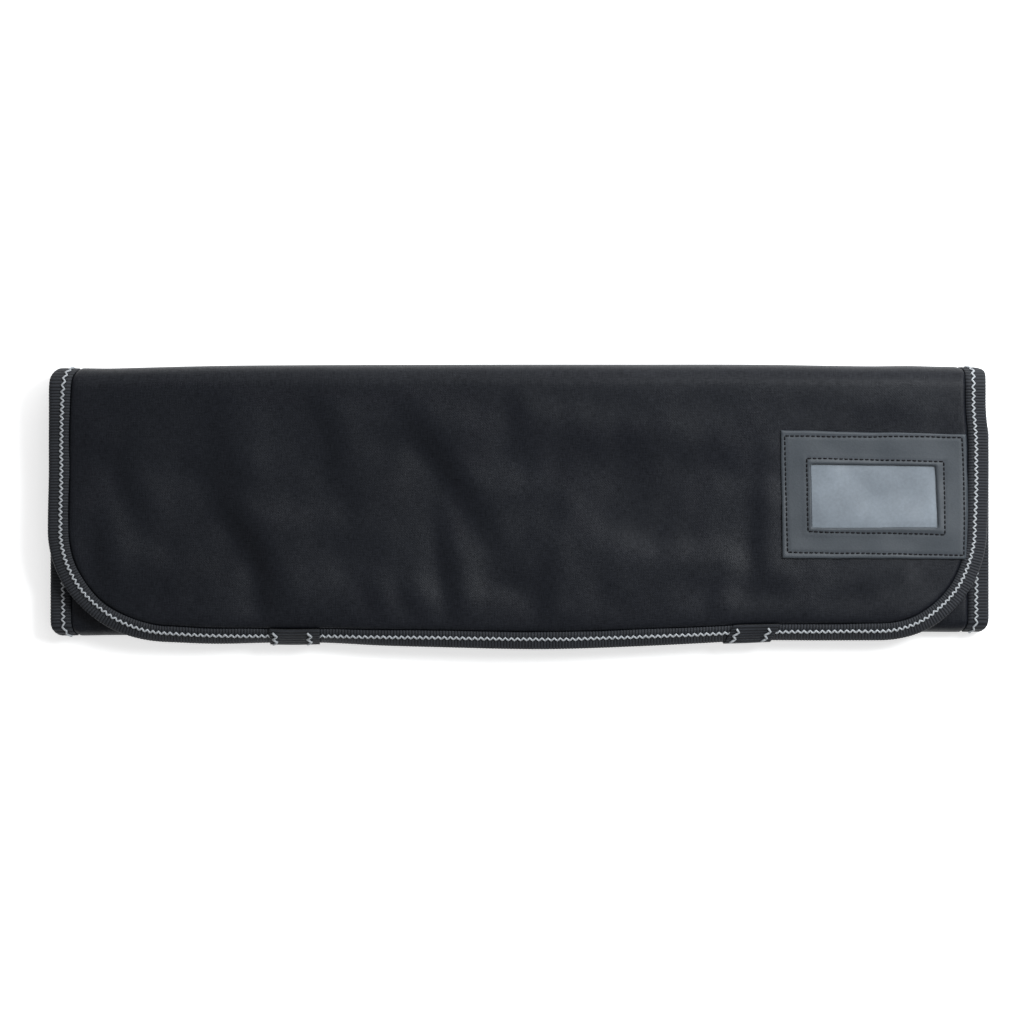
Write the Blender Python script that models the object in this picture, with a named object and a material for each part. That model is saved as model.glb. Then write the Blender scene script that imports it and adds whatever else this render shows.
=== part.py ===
"""A chef's knife roll, empty and folded in three, lying on its back with the flap on top.

Every piece is first made flat, the way it is cut and sewn: X runs along the roll, Y is the run over the
sheet from the flap's hem (0) to the inner hem, and Z is the height over the middle of the sheet, with the
outer face up. folded() then bends all the pieces together, so they keep their seats.

The frame: +Z is up, +X runs along the roll, and the top fold lies towards +Y. The origin is on the surface
that the roll lies on, under the middle of its outline. Lengths are in metres and angles in radians.
"""

import math

import bmesh
import bpy
from mathutils import Vector

# The roll as it lies folded
ROLL_WIDTH = 0.484
ROLL_DEPTH = 0.1466
FLAP_OVERHANG = 0.0082
KNIFE_SPACE = 0.005
FLAP_CLEARANCE = 0.0027
FLAP_RISE = 0.0025
FLAP_RISE_RUN = 0.05
TOP_BOW = 0.0017
INNER_END_SETBACK = 0.004

# The padded sheet
SHEET_THICKNESS = 0.004
SHEET_EDGE_THICKNESS = 0.0016
PADDING_TAPER = 0.0045
FLAP_CORNER_RADIUS = 0.0595
INNER_CORNER_RADIUS = 0.022
DENT_DEPTH = 0.0014

# The hem of the flap, which curls down over the bottom fold
HEM_CURL = 0.42
HEM_CURL_RUN = 0.02

# How far the folds pull the ends of the sheet in, and over what run
TOP_PULL = 0.004
TOP_PULL_RUN = 0.009
BOTTOM_PULL = 0.0032
BOTTOM_PULL_RUN = 0.0065
PULL_WIDTH = 0.05
SIDE_SWELL = 0.0018

# The binding tape
TAPE_THICKNESS = 0.0008
TAPE_FACE = 0.011

# The tape tabs on the hem
TAB_WIDTH = 0.0254
TAB_FACE = 0.0115
TAB_SPACING = 0.2346
TAB_SHIFT = 0.0026

# The card holder on the flap
FRAME_WIDTH = 0.094
FRAME_HEIGHT = 0.0673
FRAME_THICKNESS = 0.0015
FRAME_CORNER_RADIUS = 0.0016
FRAME_FROM_SIDE = 0.0112
FRAME_FROM_HEM = 0.0434
WINDOW_WIDTH = 0.0641
WINDOW_HEIGHT = 0.0333
PANE_THICKNESS = 0.0004
PANE_LAP = 0.004

# What touches keeps this gap
GAP = 0.0003

# The spacing of the facets
FLAT_STEP = 0.0135
PANEL_STEP = 0.03
FOLD_STEP = 0.0042
CORNER_STEP = 0.0125

# Worked out from the sizes above
HALF_SHEET = SHEET_THICKNESS / 2
HALF_EDGE = SHEET_EDGE_THICKNESS / 2
TAPE_REACH = GAP + TAPE_THICKNESS
TAPE_LAP = TAPE_FACE - TAPE_REACH
HALF_TAPE = HALF_EDGE + TAPE_REACH
SHEET_WIDTH = ROLL_WIDTH - 2 * TAPE_REACH
HALF_WIDTH = SHEET_WIDTH / 2
BOTTOM_RADIUS = (KNIFE_SPACE + SHEET_THICKNESS) / 2
BACK_LEVEL = HALF_SHEET
INNER_LEVEL = BACK_LEVEL + 2 * BOTTOM_RADIUS
FLAP_LEVEL = INNER_LEVEL + SHEET_THICKNESS + FLAP_CLEARANCE
TOP_RADIUS = (FLAP_LEVEL + FLAP_RISE - BACK_LEVEL) / 2
TOP_CENTRE = ROLL_DEPTH / 2 - HALF_SHEET - TOP_RADIUS
BOTTOM_LINE = -ROLL_DEPTH / 2 + FLAP_OVERHANG
BOTTOM_CENTRE = BOTTOM_LINE + HALF_SHEET + BOTTOM_RADIUS
FLAP_RUN = TOP_CENTRE + ROLL_DEPTH / 2 - TAPE_REACH
BACK_START = FLAP_RUN + math.pi * TOP_RADIUS
BACK_RUN = TOP_CENTRE - BOTTOM_CENTRE
BACK_END = BACK_START + BACK_RUN
INNER_START = BACK_END + math.pi * BOTTOM_RADIUS
SHEET_LENGTH = INNER_START + BACK_RUN - INNER_END_SETBACK
FRAME_X = HALF_WIDTH - FRAME_FROM_SIDE - FRAME_WIDTH / 2
FRAME_RUN = FRAME_FROM_HEM + FRAME_HEIGHT / 2
TOP_OF_FOLD = FLAP_RUN + math.pi * TOP_RADIUS / 2
BOTTOM_OF_FOLD = BACK_END + math.pi * BOTTOM_RADIUS / 2

# The hem from left to right. x is a share of the sheet's half width, reach a share of FLAP_OVERHANG and
# curl a share of HEM_CURL.
HEM_COLUMNS = ("x", "reach", "curl")
HEM = (
    (-1.00, 0.66, 0.75),
    (-0.65, 0.66, 0.85),
    (-0.53, 0.58, 1.00),
    (-0.42, 0.60, 1.00),
    (-0.29, 0.76, 0.80),
    (-0.17, 0.87, 0.60),
    (0.06, 1.00, 0.40),
    (0.26, 0.83, 0.60),
    (0.39, 0.68, 0.90),
    (0.50, 0.52, 1.00),
    (0.64, 0.54, 0.85),
    (1.00, 0.54, 0.75),
)

# How far each side of the flap swells out, up the flap. run is a share of FLAP_RUN, left and right are shares
# of SIDE_SWELL.
SIDE_COLUMNS = ("run", "left", "right")
SIDES = (
    (0.00, 0.20, -0.60),
    (0.30, 0.30, -0.50),
    (0.50, 0.20, 0.20),
    (0.66, 0.00, 0.75),
    (0.80, -0.10, 0.50),
    (0.92, -0.20, -0.55),
    (1.00, -0.20, -0.60),
)

# The soft dents of the flap. x is a share of the sheet's half width, and run, length and width are shares of
# FLAP_RUN. lean is the angle from straight up the flap. dip and step are shares of DENT_DEPTH: a dip is a
# valley, and a step is a slope that climbs to the right.
DENT_COLUMNS = ("x", "run", "length", "width", "lean", "dip", "step")
DENTS = (
    (-0.635, 0.76, 0.24, 0.105, 0.05, 0.7, 0.9),
    (-0.585, 0.42, 0.19, 0.080, 0.50, 0.8, 0.9),
    (-0.540, 0.20, 0.16, 0.060, 0.12, 0.7, 0.8),
    (-0.400, 0.79, 0.21, 0.075, 0.28, 0.7, 0.7),
    (-0.155, 0.69, 0.32, 0.075, 0.58, 0.7, 0.9),
    (-0.003, 0.88, 0.13, 0.060, 0.20, 0.4, 0.5),
    (-0.825, 0.57, 0.13, 0.070, 0.30, 0.7, 0.7),
    (-0.895, 0.36, 0.14, 0.055, 0.05, 0.6, 0.8),
    (-0.860, 0.28, 0.16, 0.060, 0.00, -0.5, 0.0),
    (-0.150, 0.27, 0.22, 0.050, 0.15, 0.7, 0.8),
    (-0.190, 0.40, 0.18, 0.050, -0.10, -0.5, 0.0),
    (-0.230, 0.15, 0.09, 0.045, 0.50, 0.6, 0.5),
    (-0.305, 0.14, 0.08, 0.045, 0.40, 0.4, 0.4),
    (0.060, 0.20, 0.17, 0.070, -0.10, 0.5, 0.6),
    (0.300, 0.36, 0.20, 0.080, -0.20, 0.3, 0.3),
    (0.515, 0.45, 0.24, 0.050, 0.00, 0.3, 0.5),
    (0.415, 0.16, 0.09, 0.050, -0.30, 0.5, 0.4),
)


def ease(share):
    """0 below 0, 1 above 1, and a smooth climb between."""
    share = min(1.0, max(0.0, share))
    return share * share * (3 - 2 * share)


def read_table(table, columns, place):
    """The row of the table at that place in its first column, eased between the rows on both sides."""
    above = next((i for i, row in enumerate(table) if row[0] >= place), len(table) - 1)
    high = table[above]
    low = table[max(0, above - 1)]
    share = ease((place - low[0]) / (high[0] - low[0])) if high is not low else 0.0
    return {name: a + (b - a) * share for name, a, b in zip(columns, low, high)}


def top_centre(x):
    """The middle of the top fold, which bows out between the ends of the roll."""
    return TOP_CENTRE - TOP_BOW * abs(x / HALF_WIDTH) ** 2.5


def dents(x, run):
    """The height of the flap's dents and ridges over its own level."""
    height = 0.0
    for row in DENTS:
        dent = dict(zip(DENT_COLUMNS, row))
        across = x - dent["x"] * HALF_WIDTH
        up = run - dent["run"] * FLAP_RUN
        # A dent that leans to the right at its foot has a positive lean.
        across, up = (
            across * math.cos(dent["lean"]) + up * math.sin(dent["lean"]),
            up * math.cos(dent["lean"]) - across * math.sin(dent["lean"]),
        )
        across /= dent["width"] * FLAP_RUN
        up /= dent["length"] * FLAP_RUN
        height += (dent["step"] * across - dent["dip"]) * math.exp(-across * across - up * up)
    side_fade = ease((HALF_WIDTH - abs(x)) / (4 * TAPE_FACE))
    hem_fade = ease(run / (2 * TAPE_FACE))
    fold_fade = ease((FLAP_RUN - run) / (2 * TAPE_FACE))
    return DENT_DEPTH * height * side_fade * hem_fade * fold_fade


def flap_middle(x, run):
    """(y, z) of the middle of the sheet on the flap."""
    hem = read_table(HEM, HEM_COLUMNS, x / HALF_WIDTH)
    curl = HEM_CURL * hem["curl"]
    hem_y = BOTTOM_LINE - FLAP_OVERHANG * hem["reach"] + TAPE_REACH
    curl_y = hem_y + HEM_CURL_RUN * (1 - curl**2 / 6)
    level = FLAP_LEVEL + FLAP_RISE * ease(1 - (FLAP_RUN - run) / FLAP_RISE_RUN)
    if run >= HEM_CURL_RUN:
        share = (run - HEM_CURL_RUN) / (FLAP_RUN - HEM_CURL_RUN)
        return curl_y + share * (top_centre(x) - curl_y), level + dents(x, run)
    past = 1 - run / HEM_CURL_RUN
    y = curl_y - HEM_CURL_RUN * (past - curl**2 * past**3 / 6)
    drop = HEM_CURL_RUN * (curl * past**2 / 2 - curl**3 * past**4 / 24)
    return y, level - drop + dents(x, run)


def side_shift(x, run):
    """How far a point moves along X, where the folds pull the ends in and the flap's sides swell out."""
    near_side = ease(1 - (HALF_WIDTH - abs(x)) / PULL_WIDTH)
    pull = TOP_PULL * math.exp(-(((run - TOP_OF_FOLD) / TOP_PULL_RUN) ** 2))
    pull += BOTTOM_PULL * math.exp(-(((run - BOTTOM_OF_FOLD) / BOTTOM_PULL_RUN) ** 2))
    swell = read_table(SIDES, SIDE_COLUMNS, run / FLAP_RUN)["left" if x < 0 else "right"]
    past_fold = ease((BACK_START - run) / (BACK_START - FLAP_RUN))
    return math.copysign(near_side, x) * (SIDE_SWELL * swell * past_fold - pull)


def middle(x, run):
    """Where a point of the middle of the sheet lies once the sheet is folded."""
    if run < FLAP_RUN:
        y, z = flap_middle(x, run)
    elif run < BACK_START:
        turn = (run - FLAP_RUN) / TOP_RADIUS
        y = top_centre(x) + TOP_RADIUS * math.sin(turn)
        z = BACK_LEVEL + TOP_RADIUS * (1 + math.cos(turn))
    elif run < BACK_END:
        share = (run - BACK_START) / BACK_RUN
        y = top_centre(x) + share * (BOTTOM_CENTRE - top_centre(x))
        z = BACK_LEVEL
    elif run < INNER_START:
        turn = (run - BACK_END) / BOTTOM_RADIUS
        y = BOTTOM_CENTRE - BOTTOM_RADIUS * math.sin(turn)
        z = BACK_LEVEL + BOTTOM_RADIUS * (1 - math.cos(turn))
    else:
        y = BOTTOM_CENTRE + run - INNER_START
        z = INNER_LEVEL
    return Vector((x + side_shift(x, run), y, z))


def folded(point):
    """Where a point of the flat work lies once the sheet is folded."""
    step = 0.0002
    x, run, height = point
    along = middle(x + step, run) - middle(x - step, run)
    up = middle(x, run + step) - middle(x, run - step)
    return middle(x, run) + height * along.cross(up).normalized()


def rounded(x, run):
    """Moves a point of the square-cornered sheet, ring by ring, so that the corners take their radii."""
    side = HALF_WIDTH - abs(x)
    for is_flap, radius in ((True, FLAP_CORNER_RADIUS), (False, INNER_CORNER_RADIUS)):
        end = run if is_flap else SHEET_LENGTH - run
        if side >= radius or end >= radius:
            continue
        ring = radius - min(side, end)
        turn = math.pi / 4 * (1 - abs(side - end) / ring)
        across, up = math.cos(turn), math.sin(turn)
        if end < side:
            across, up = up, across
        x = math.copysign(HALF_WIDTH - radius + ring * across, x)
        end = radius - ring * up
        return x, end if is_flap else SHEET_LENGTH - end
    return x, run


def spaced(start, end, step):
    """Values from start to end, without start, at most about that step apart."""
    count = max(1, round(abs(end - start) / step))
    return [start + (end - start) * (i + 1) / count for i in range(count)]


def corner_lines(radius):
    """How far in from an edge the facets' lines lie: under the tape, over the taper and round the corner."""
    under_tape = TAPE_LAP + GAP
    full = under_tape + PADDING_TAPER
    lines = [0.0, under_tape / 2, under_tape, full]
    return lines + spaced(full, max(radius, full + CORNER_STEP), CORNER_STEP)


def tab_ends(sign):
    """The X of the left and right ends of the tab on that side."""
    centre = TAB_SHIFT + sign * TAB_SPACING / 2
    return centre - TAB_WIDTH / 2, centre + TAB_WIDTH / 2


def lines_across():
    """The X of the facets' lines over the sheet, from left to right, with lines at the ends of the tabs."""
    right = [HALF_WIDTH - inset for inset in corner_lines(FLAP_CORNER_RADIUS)]
    lines = [-x for x in right]
    for stop in (*tab_ends(-1), *tab_ends(1), right[-1]):
        lines += spaced(lines[-1], stop, FLAT_STEP)
    return lines[:-1] + right[::-1]


def lines_along():
    """The run of the facets' lines over the sheet, from the flap's hem to the inner hem."""
    lines = corner_lines(FLAP_CORNER_RADIUS)
    lines += spaced(lines[-1], FLAP_RUN, FLAT_STEP)
    lines += spaced(FLAP_RUN, BACK_START, FOLD_STEP)
    lines += spaced(BACK_START, BACK_END, PANEL_STEP)
    lines += spaced(BACK_END, INNER_START, FOLD_STEP * 0.75)
    inner = [SHEET_LENGTH - inset for inset in corner_lines(INNER_CORNER_RADIUS)]
    return lines + spaced(INNER_START, inner[-1], PANEL_STEP)[:-1] + inner[::-1]


def grid_over(columns, rows):
    """A flat bmesh grid whose vertices lie at those X and Y values."""
    grid = bmesh.new()
    last_column = len(columns) - 1
    last_row = len(rows) - 1
    bmesh.ops.create_grid(grid, x_segments=last_column, y_segments=last_row, size=0.5)
    for vertex in grid.verts:
        column = round((vertex.co.x + 0.5) * last_column)
        row = round((vertex.co.y + 0.5) * last_row)
        vertex.co = (columns[column], rows[row], 0.0)
    return grid


def thickened(grid, low, high):
    """Gives a flat grid two faces and a rim. low and high give the heights of its faces at a point."""
    faces = list(grid.faces)
    bmesh.ops.solidify(grid, geom=faces, thickness=GAP)
    middle_height = sum(vertex.co.z for vertex in grid.verts) / len(grid.verts)
    for vertex in grid.verts:
        height = high if vertex.co.z > middle_height else low
        vertex.co.z = height(vertex.co.x, vertex.co.y)
    return grid


def add_piece(name, flat, material, collection, parent):
    """Folds a piece of flat work up and adds it to the scene."""
    bmesh.ops.recalc_face_normals(flat, faces=flat.faces)
    for vertex in flat.verts:
        vertex.co = folded(vertex.co)
    mesh = bpy.data.meshes.new(name)
    flat.to_mesh(mesh)
    flat.free()
    mesh.shade_smooth()
    mesh.set_sharp_from_angle(angle=math.radians(40))
    mesh.materials.append(material)
    piece = bpy.data.objects.new(name, mesh)
    piece.parent = parent
    collection.objects.link(piece)
    return piece


def padding(x, run):
    """Half the thickness of the sheet, which is pressed thin in its binding."""
    inset = min(HALF_WIDTH - abs(x), run, SHEET_LENGTH - run)
    taper = ease((inset - TAPE_LAP - GAP) / PADDING_TAPER)
    return HALF_EDGE + (HALF_SHEET - HALF_EDGE) * taper


def cover_flat():
    """The padded sheet: flap, back panel and inner panel in one."""
    sheet = thickened(
        grid_over(lines_across(), lines_along()),
        low=lambda x, run: -padding(x, run),
        high=padding,
    )
    for vertex in sheet.verts:
        vertex.co.x, vertex.co.y = rounded(vertex.co.x, vertex.co.y)
    return sheet


def edge_frame(x, run):
    """A point of the sheet's outline, and the direction from it into the sheet."""
    point = Vector(rounded(x, run))
    side = HALF_WIDTH - abs(x)
    for end, radius, centre_run in (
        (run, FLAP_CORNER_RADIUS, FLAP_CORNER_RADIUS),
        (SHEET_LENGTH - run, INNER_CORNER_RADIUS, SHEET_LENGTH - INNER_CORNER_RADIUS),
    ):
        if side < radius and end < radius:
            centre = Vector((math.copysign(HALF_WIDTH - radius, x), centre_run))
            return point, (centre - point).normalized()
    if side > 0:
        return point, Vector((0.0, 1.0 if run == 0 else -1.0))
    return point, Vector((-math.copysign(1.0, x), 0.0))


def sheet_outline():
    """The stations of the tape, once round the sheet."""
    across = lines_across()
    along = lines_along()
    hem = [(x, 0.0) for x in across[:-1]]
    right = [(HALF_WIDTH, run) for run in along[:-1]]
    inner = [(x, SHEET_LENGTH) for x in across[:0:-1]]
    left = [(-HALF_WIDTH, run) for run in along[:0:-1]]
    return [edge_frame(x, run) for x, run in hem + right + inner + left]


def wrap_section(half_core, lap):
    """A strip folded round an edge, cut across: (distance in from the edge, height) of its corners in order.

    half_core is half of what the strip is folded round, which ends at distance 0.
    """
    inside = half_core + GAP
    outside = inside + TAPE_THICKNESS
    upper = [
        (lap, outside),
        (lap / 2, outside),
        (0.0, outside),
        (-0.72 * TAPE_REACH, 0.76 * outside),
        (-TAPE_REACH, 0.32 * outside),
    ]
    lower = [(inset, -height) for inset, height in upper[::-1]]
    lining = [(lap, -inside), (lap / 2, -inside), (-GAP, -inside)]
    lining += [(inset, -height) for inset, height in lining[::-1]]
    return upper + lower + lining


def edge_binding_flat():
    """The tape that binds the sheet, once round its edge."""
    stations = sheet_outline()
    section = wrap_section(HALF_EDGE, TAPE_LAP)
    tape = grid_over(range(len(stations) + 1), range(len(section) + 1))
    for vertex in tape.verts:
        point, inward = stations[round(vertex.co.x) % len(stations)]
        inset, height = section[round(vertex.co.y) % len(section)]
        place = point + inset * inward
        vertex.co = (place.x, place.y, height)
    bmesh.ops.remove_doubles(tape, verts=tape.verts, dist=1e-6)
    return tape


def hem_tab_flat(left, right):
    """A short piece of tape that wraps the bound hem, with its facets in line with the binding's."""
    columns = [x for x in lines_across() if left - GAP < x < right + GAP]
    section = wrap_section(HALF_TAPE, TAB_FACE - 2 * TAPE_REACH)
    tab = grid_over(columns, range(len(section) + 1))
    for vertex in tab.verts:
        inset, height = section[round(vertex.co.y) % len(section)]
        vertex.co = (vertex.co.x, inset - TAPE_REACH, height)
    bmesh.ops.remove_doubles(tab, verts=tab.verts, dist=1e-6)
    bmesh.ops.holes_fill(tab, edges=tab.edges)
    return tab


def mirrored_lines(centre, halves, step):
    """Lines on both sides of a centre at those distances, with more between the innermost two."""
    right = [centre + half for half in halves]
    left = [centre - half for half in halves]
    return left + spaced(left[-1], right[-1], step)[:-1] + right[::-1]


def id_frame_flat():
    """The leatherette frame of the card holder, pared thin underneath where it laps the pane."""
    half_width = FRAME_WIDTH / 2
    half_height = FRAME_HEIGHT / 2
    window_half_width = WINDOW_WIDTH / 2
    window_half_height = WINDOW_HEIGHT / 2
    lap = PANE_LAP + GAP
    plate = grid_over(
        mirrored_lines(
            FRAME_X,
            (half_width, window_half_width + lap + GAP, window_half_width + lap, window_half_width),
            FLAT_STEP,
        ),
        mirrored_lines(
            FRAME_RUN,
            (half_height, window_half_height + lap + GAP, window_half_height + lap, window_half_height),
            FLAT_STEP,
        ),
    )
    in_window = [
        face
        for face in plate.faces
        if abs(face.calc_center_median().x - FRAME_X) < window_half_width
        and abs(face.calc_center_median().y - FRAME_RUN) < window_half_height
    ]
    bmesh.ops.delete(plate, geom=in_window, context="FACES")
    bottom = HALF_SHEET + GAP
    top = bottom + FRAME_THICKNESS

    def underside(x, run):
        over = max(abs(x - FRAME_X) - window_half_width, abs(run - FRAME_RUN) - window_half_height)
        return bottom + (PANE_THICKNESS + GAP if over < lap + GAP / 2 else 0.0)

    thickened(plate, low=underside, high=lambda x, run: top)
    corners = [
        edge
        for edge in plate.edges
        if all(
            abs(abs(vertex.co.x - FRAME_X) - half_width) < GAP
            and abs(abs(vertex.co.y - FRAME_RUN) - half_height) < GAP
            for vertex in edge.verts
        )
    ]
    bmesh.ops.bevel(
        plate,
        geom=corners,
        offset=FRAME_CORNER_RADIUS,
        segments=2,
        profile=0.5,
        affect="EDGES",
        material=-1,
    )
    return plate


def id_window_flat():
    """The clear pane, whose margins lie under the frame."""
    half_width = WINDOW_WIDTH / 2 + PANE_LAP
    half_height = WINDOW_HEIGHT / 2 + PANE_LAP
    bottom = HALF_SHEET + GAP
    pane = grid_over(
        mirrored_lines(FRAME_X, (half_width, WINDOW_WIDTH / 2), FLAT_STEP),
        mirrored_lines(FRAME_RUN, (half_height, WINDOW_HEIGHT / 2), FLAT_STEP),
    )
    return thickened(pane, low=lambda x, run: bottom, high=lambda x, run: bottom + PANE_THICKNESS)


def new_material(name, colour, roughness, alpha=1.0):
    """A plain finish."""
    material = bpy.data.materials.new(name)
    material.use_nodes = True
    shader = material.node_tree.nodes["Principled BSDF"]
    shader.inputs["Base Color"].default_value = (*colour, 1.0)
    shader.inputs["Roughness"].default_value = roughness
    shader.inputs["Metallic"].default_value = 0.0
    shader.inputs["Alpha"].default_value = alpha
    return material


def main():
    """Clears the scene and builds the roll."""
    for thing in list(bpy.data.objects):
        bpy.data.objects.remove(thing)
    collection = bpy.data.collections.new("chef_knife_roll")
    bpy.context.scene.collection.children.link(collection)
    roll = bpy.data.objects.new("roll", None)
    collection.objects.link(roll)

    cloth = new_material("black_cloth", (0.017, 0.018, 0.022), 0.75)
    ribbed_tape = new_material("ribbed_tape", (0.026, 0.028, 0.033), 0.7)
    leatherette = new_material("leatherette", (0.075, 0.088, 0.1), 0.45)
    clear_vinyl = new_material("clear_vinyl", (0.5, 0.54, 0.58), 0.15, alpha=0.5)

    add_piece("cover", cover_flat(), cloth, collection, roll)
    add_piece("edge_binding", edge_binding_flat(), ribbed_tape, collection, roll)
    for side, sign in (("left", -1), ("right", 1)):
        add_piece(f"hem_tab_{side}", hem_tab_flat(*tab_ends(sign)), ribbed_tape, collection, roll)
    add_piece("id_frame", id_frame_flat(), leatherette, collection, roll)
    add_piece("id_window", id_window_flat(), clear_vinyl, collection, roll)


main()
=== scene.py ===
"""The looks of a chef's knife roll, empty and folded in three, seen from straight above.

Every piece is made flat, the way it is cut and sewn, and FoldedSheet then bends it into place: x runs along
the roll, run goes over the sheet from the flap's hem to the inner hem, and height is measured from the
middle of the sheet, with the outer face up. Lengths are in metres and angles in radians.
"""

import logging
import math
from dataclasses import dataclass
from enum import Enum
from typing import Callable, Sequence

import bmesh
import bpy
import numpy as np
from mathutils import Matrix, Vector


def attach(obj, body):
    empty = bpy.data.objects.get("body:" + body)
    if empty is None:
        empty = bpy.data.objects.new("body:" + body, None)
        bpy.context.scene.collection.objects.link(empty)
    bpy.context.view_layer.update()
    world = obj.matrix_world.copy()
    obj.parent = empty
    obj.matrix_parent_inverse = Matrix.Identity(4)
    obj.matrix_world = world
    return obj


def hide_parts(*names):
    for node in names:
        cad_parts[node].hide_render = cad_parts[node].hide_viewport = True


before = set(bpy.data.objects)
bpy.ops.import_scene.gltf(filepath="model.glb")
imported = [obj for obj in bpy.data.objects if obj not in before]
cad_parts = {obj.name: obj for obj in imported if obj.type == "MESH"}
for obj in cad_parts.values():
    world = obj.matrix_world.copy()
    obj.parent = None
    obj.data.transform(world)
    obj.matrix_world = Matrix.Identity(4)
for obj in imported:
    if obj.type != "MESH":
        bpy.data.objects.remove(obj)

LOG = logging.getLogger("knife_roll")
ROOT = "root"
FLAT_UV = "flat"
MERGE = 1e-7


class Slot(Enum):
    """Names of material slots."""

    CLOTH = "cloth"
    TAPE = "tape"
    LEATHERETTE = "leatherette"
    CLEAR_VINYL = "clear_vinyl"


class Side(Enum):
    """The two faces of the sheet: the outer one shows, and the inner one is folded in."""

    OUTER = 1.0
    INNER = -1.0


@dataclass(frozen=True)
class Dent:
    """A soft dent of the flap.

    x is a share of the sheet's half width, and run, length and width are shares of the flap's run. lean is
    the angle from straight up the flap. dip and step are shares of the dents' depth: a dip is a valley, and
    a step is a slope that climbs to the right.
    """

    x: float
    run: float
    length: float
    width: float
    lean: float
    dip: float
    step: float


@dataclass(frozen=True)
class HemPoint:
    """The hem at one place: x as a share of the half width, reach of the overhang, and its curl."""

    x: float
    reach: float
    curl: float


@dataclass(frozen=True)
class TopPoint:
    """How far the top fold lies short of its full reach: x of the half width, short of the bow."""

    x: float
    short: float


@dataclass(frozen=True)
class FoldEnd:
    """How a fold pulls one end of the roll in: how far, and over how long a run."""

    pull: float
    run: float


@dataclass(frozen=True)
class SidePoint:
    """How far the flap's sides swell out at a share of its run, as shares of the full swell."""

    run: float
    left: float
    right: float


DENTS = (
    Dent(-0.635, 0.76, 0.24, 0.105, 0.05, 0.7, 0.9),
    Dent(-0.585, 0.42, 0.19, 0.080, 0.50, 0.8, 0.9),
    Dent(-0.540, 0.20, 0.16, 0.060, 0.12, 0.7, 0.8),
    Dent(-0.400, 0.79, 0.21, 0.075, 0.28, 0.7, 0.7),
    Dent(-0.155, 0.69, 0.32, 0.075, 0.58, 0.7, 0.9),
    Dent(-0.003, 0.88, 0.13, 0.060, 0.20, 0.4, 0.5),
    Dent(-0.825, 0.57, 0.13, 0.070, 0.30, 0.7, 0.7),
    Dent(-0.895, 0.36, 0.14, 0.055, 0.05, 0.6, 0.8),
    Dent(-0.860, 0.28, 0.16, 0.060, 0.00, -0.5, 0.0),
    Dent(-0.150, 0.27, 0.22, 0.050, 0.15, 0.7, 0.8),
    Dent(-0.190, 0.40, 0.18, 0.050, -0.10, -0.5, 0.0),
    Dent(-0.230, 0.15, 0.09, 0.045, 0.50, 0.6, 0.5),
    Dent(-0.305, 0.14, 0.08, 0.045, 0.40, 0.4, 0.4),
    Dent(0.060, 0.20, 0.17, 0.070, -0.10, 0.5, 0.6),
    Dent(0.300, 0.36, 0.20, 0.080, -0.20, 0.3, 0.3),
    Dent(0.515, 0.45, 0.24, 0.050, 0.00, 0.3, 0.5),
    Dent(0.415, 0.16, 0.09, 0.050, -0.30, 0.5, 0.4),
)

HEM = (
    HemPoint(-1.00, 0.50, 0.55),
    HemPoint(-0.78, 0.50, 0.60),
    HemPoint(-0.65, 0.62, 0.75),
    HemPoint(-0.53, 0.54, 1.00),
    HemPoint(-0.42, 0.54, 1.00),
    HemPoint(-0.29, 0.74, 0.70),
    HemPoint(-0.17, 0.85, 0.50),
    HemPoint(0.06, 0.98, 0.40),
    HemPoint(0.26, 0.79, 0.50),
    HemPoint(0.39, 0.60, 0.60),
    HemPoint(0.50, 0.42, 0.70),
    HemPoint(0.64, 0.42, 0.60),
    HemPoint(1.00, 0.40, 0.50),
)

TOP = (
    TopPoint(-1.00, 0.92),
    TopPoint(-0.90, 1.00),
    TopPoint(-0.81, 0.78),
    TopPoint(-0.73, 0.54),
    TopPoint(-0.64, 0.32),
    TopPoint(-0.47, 0.15),
    TopPoint(-0.21, 0.05),
    TopPoint(0.22, 0.00),
    TopPoint(0.56, 0.08),
    TopPoint(0.66, 0.26),
    TopPoint(0.76, 0.40),
    TopPoint(0.84, 0.32),
    TopPoint(0.92, 0.55),
    TopPoint(1.00, 0.72),
)

SIDES = (
    SidePoint(0.00, 0.40, -0.60),
    SidePoint(0.30, 0.50, -0.50),
    SidePoint(0.50, 0.40, 0.20),
    SidePoint(0.66, 0.15, 0.45),
    SidePoint(0.80, 0.10, 0.30),
    SidePoint(0.92, 0.00, -0.45),
    SidePoint(1.00, 0.00, -0.50),
)

TOP_ENDS = (FoldEnd(0.0040, 0.0062), FoldEnd(0.0040, 0.0034))
BOTTOM_ENDS = (FoldEnd(0.0039, 0.0036), FoldEnd(0.0032, 0.0036))


def eased(share: np.ndarray) -> np.ndarray:
    """0 below 0, 1 above 1, and a smooth climb between."""
    share = np.clip(share, 0.0, 1.0)
    return share * share * (3 - 2 * share)


def smooth_through(places: Sequence[float], values: Sequence[float], at: np.ndarray) -> np.ndarray:
    """A smooth curve through a few values.

    Args:
        places: Where the values stand, in rising order.
        values: The values there.
        at: Where the curve is wanted; past the ends it stays level.

    Returns:
        The curve's values.
    """
    x = np.asarray(places, float)
    y = np.asarray(values, float)
    slopes = np.gradient(y, x)
    at = np.clip(at, x[0], x[-1])
    low = np.clip(np.searchsorted(x, at, side="right") - 1, 0, len(x) - 2)
    step = x[low + 1] - x[low]
    t = (at - x[low]) / step
    start = (1 + 2 * t) * (1 - t) ** 2 * y[low] + t * (1 - t) ** 2 * step * slopes[low]
    end = t * t * (3 - 2 * t) * y[low + 1] + t * t * (t - 1) * step * slopes[low + 1]
    return start + end


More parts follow.
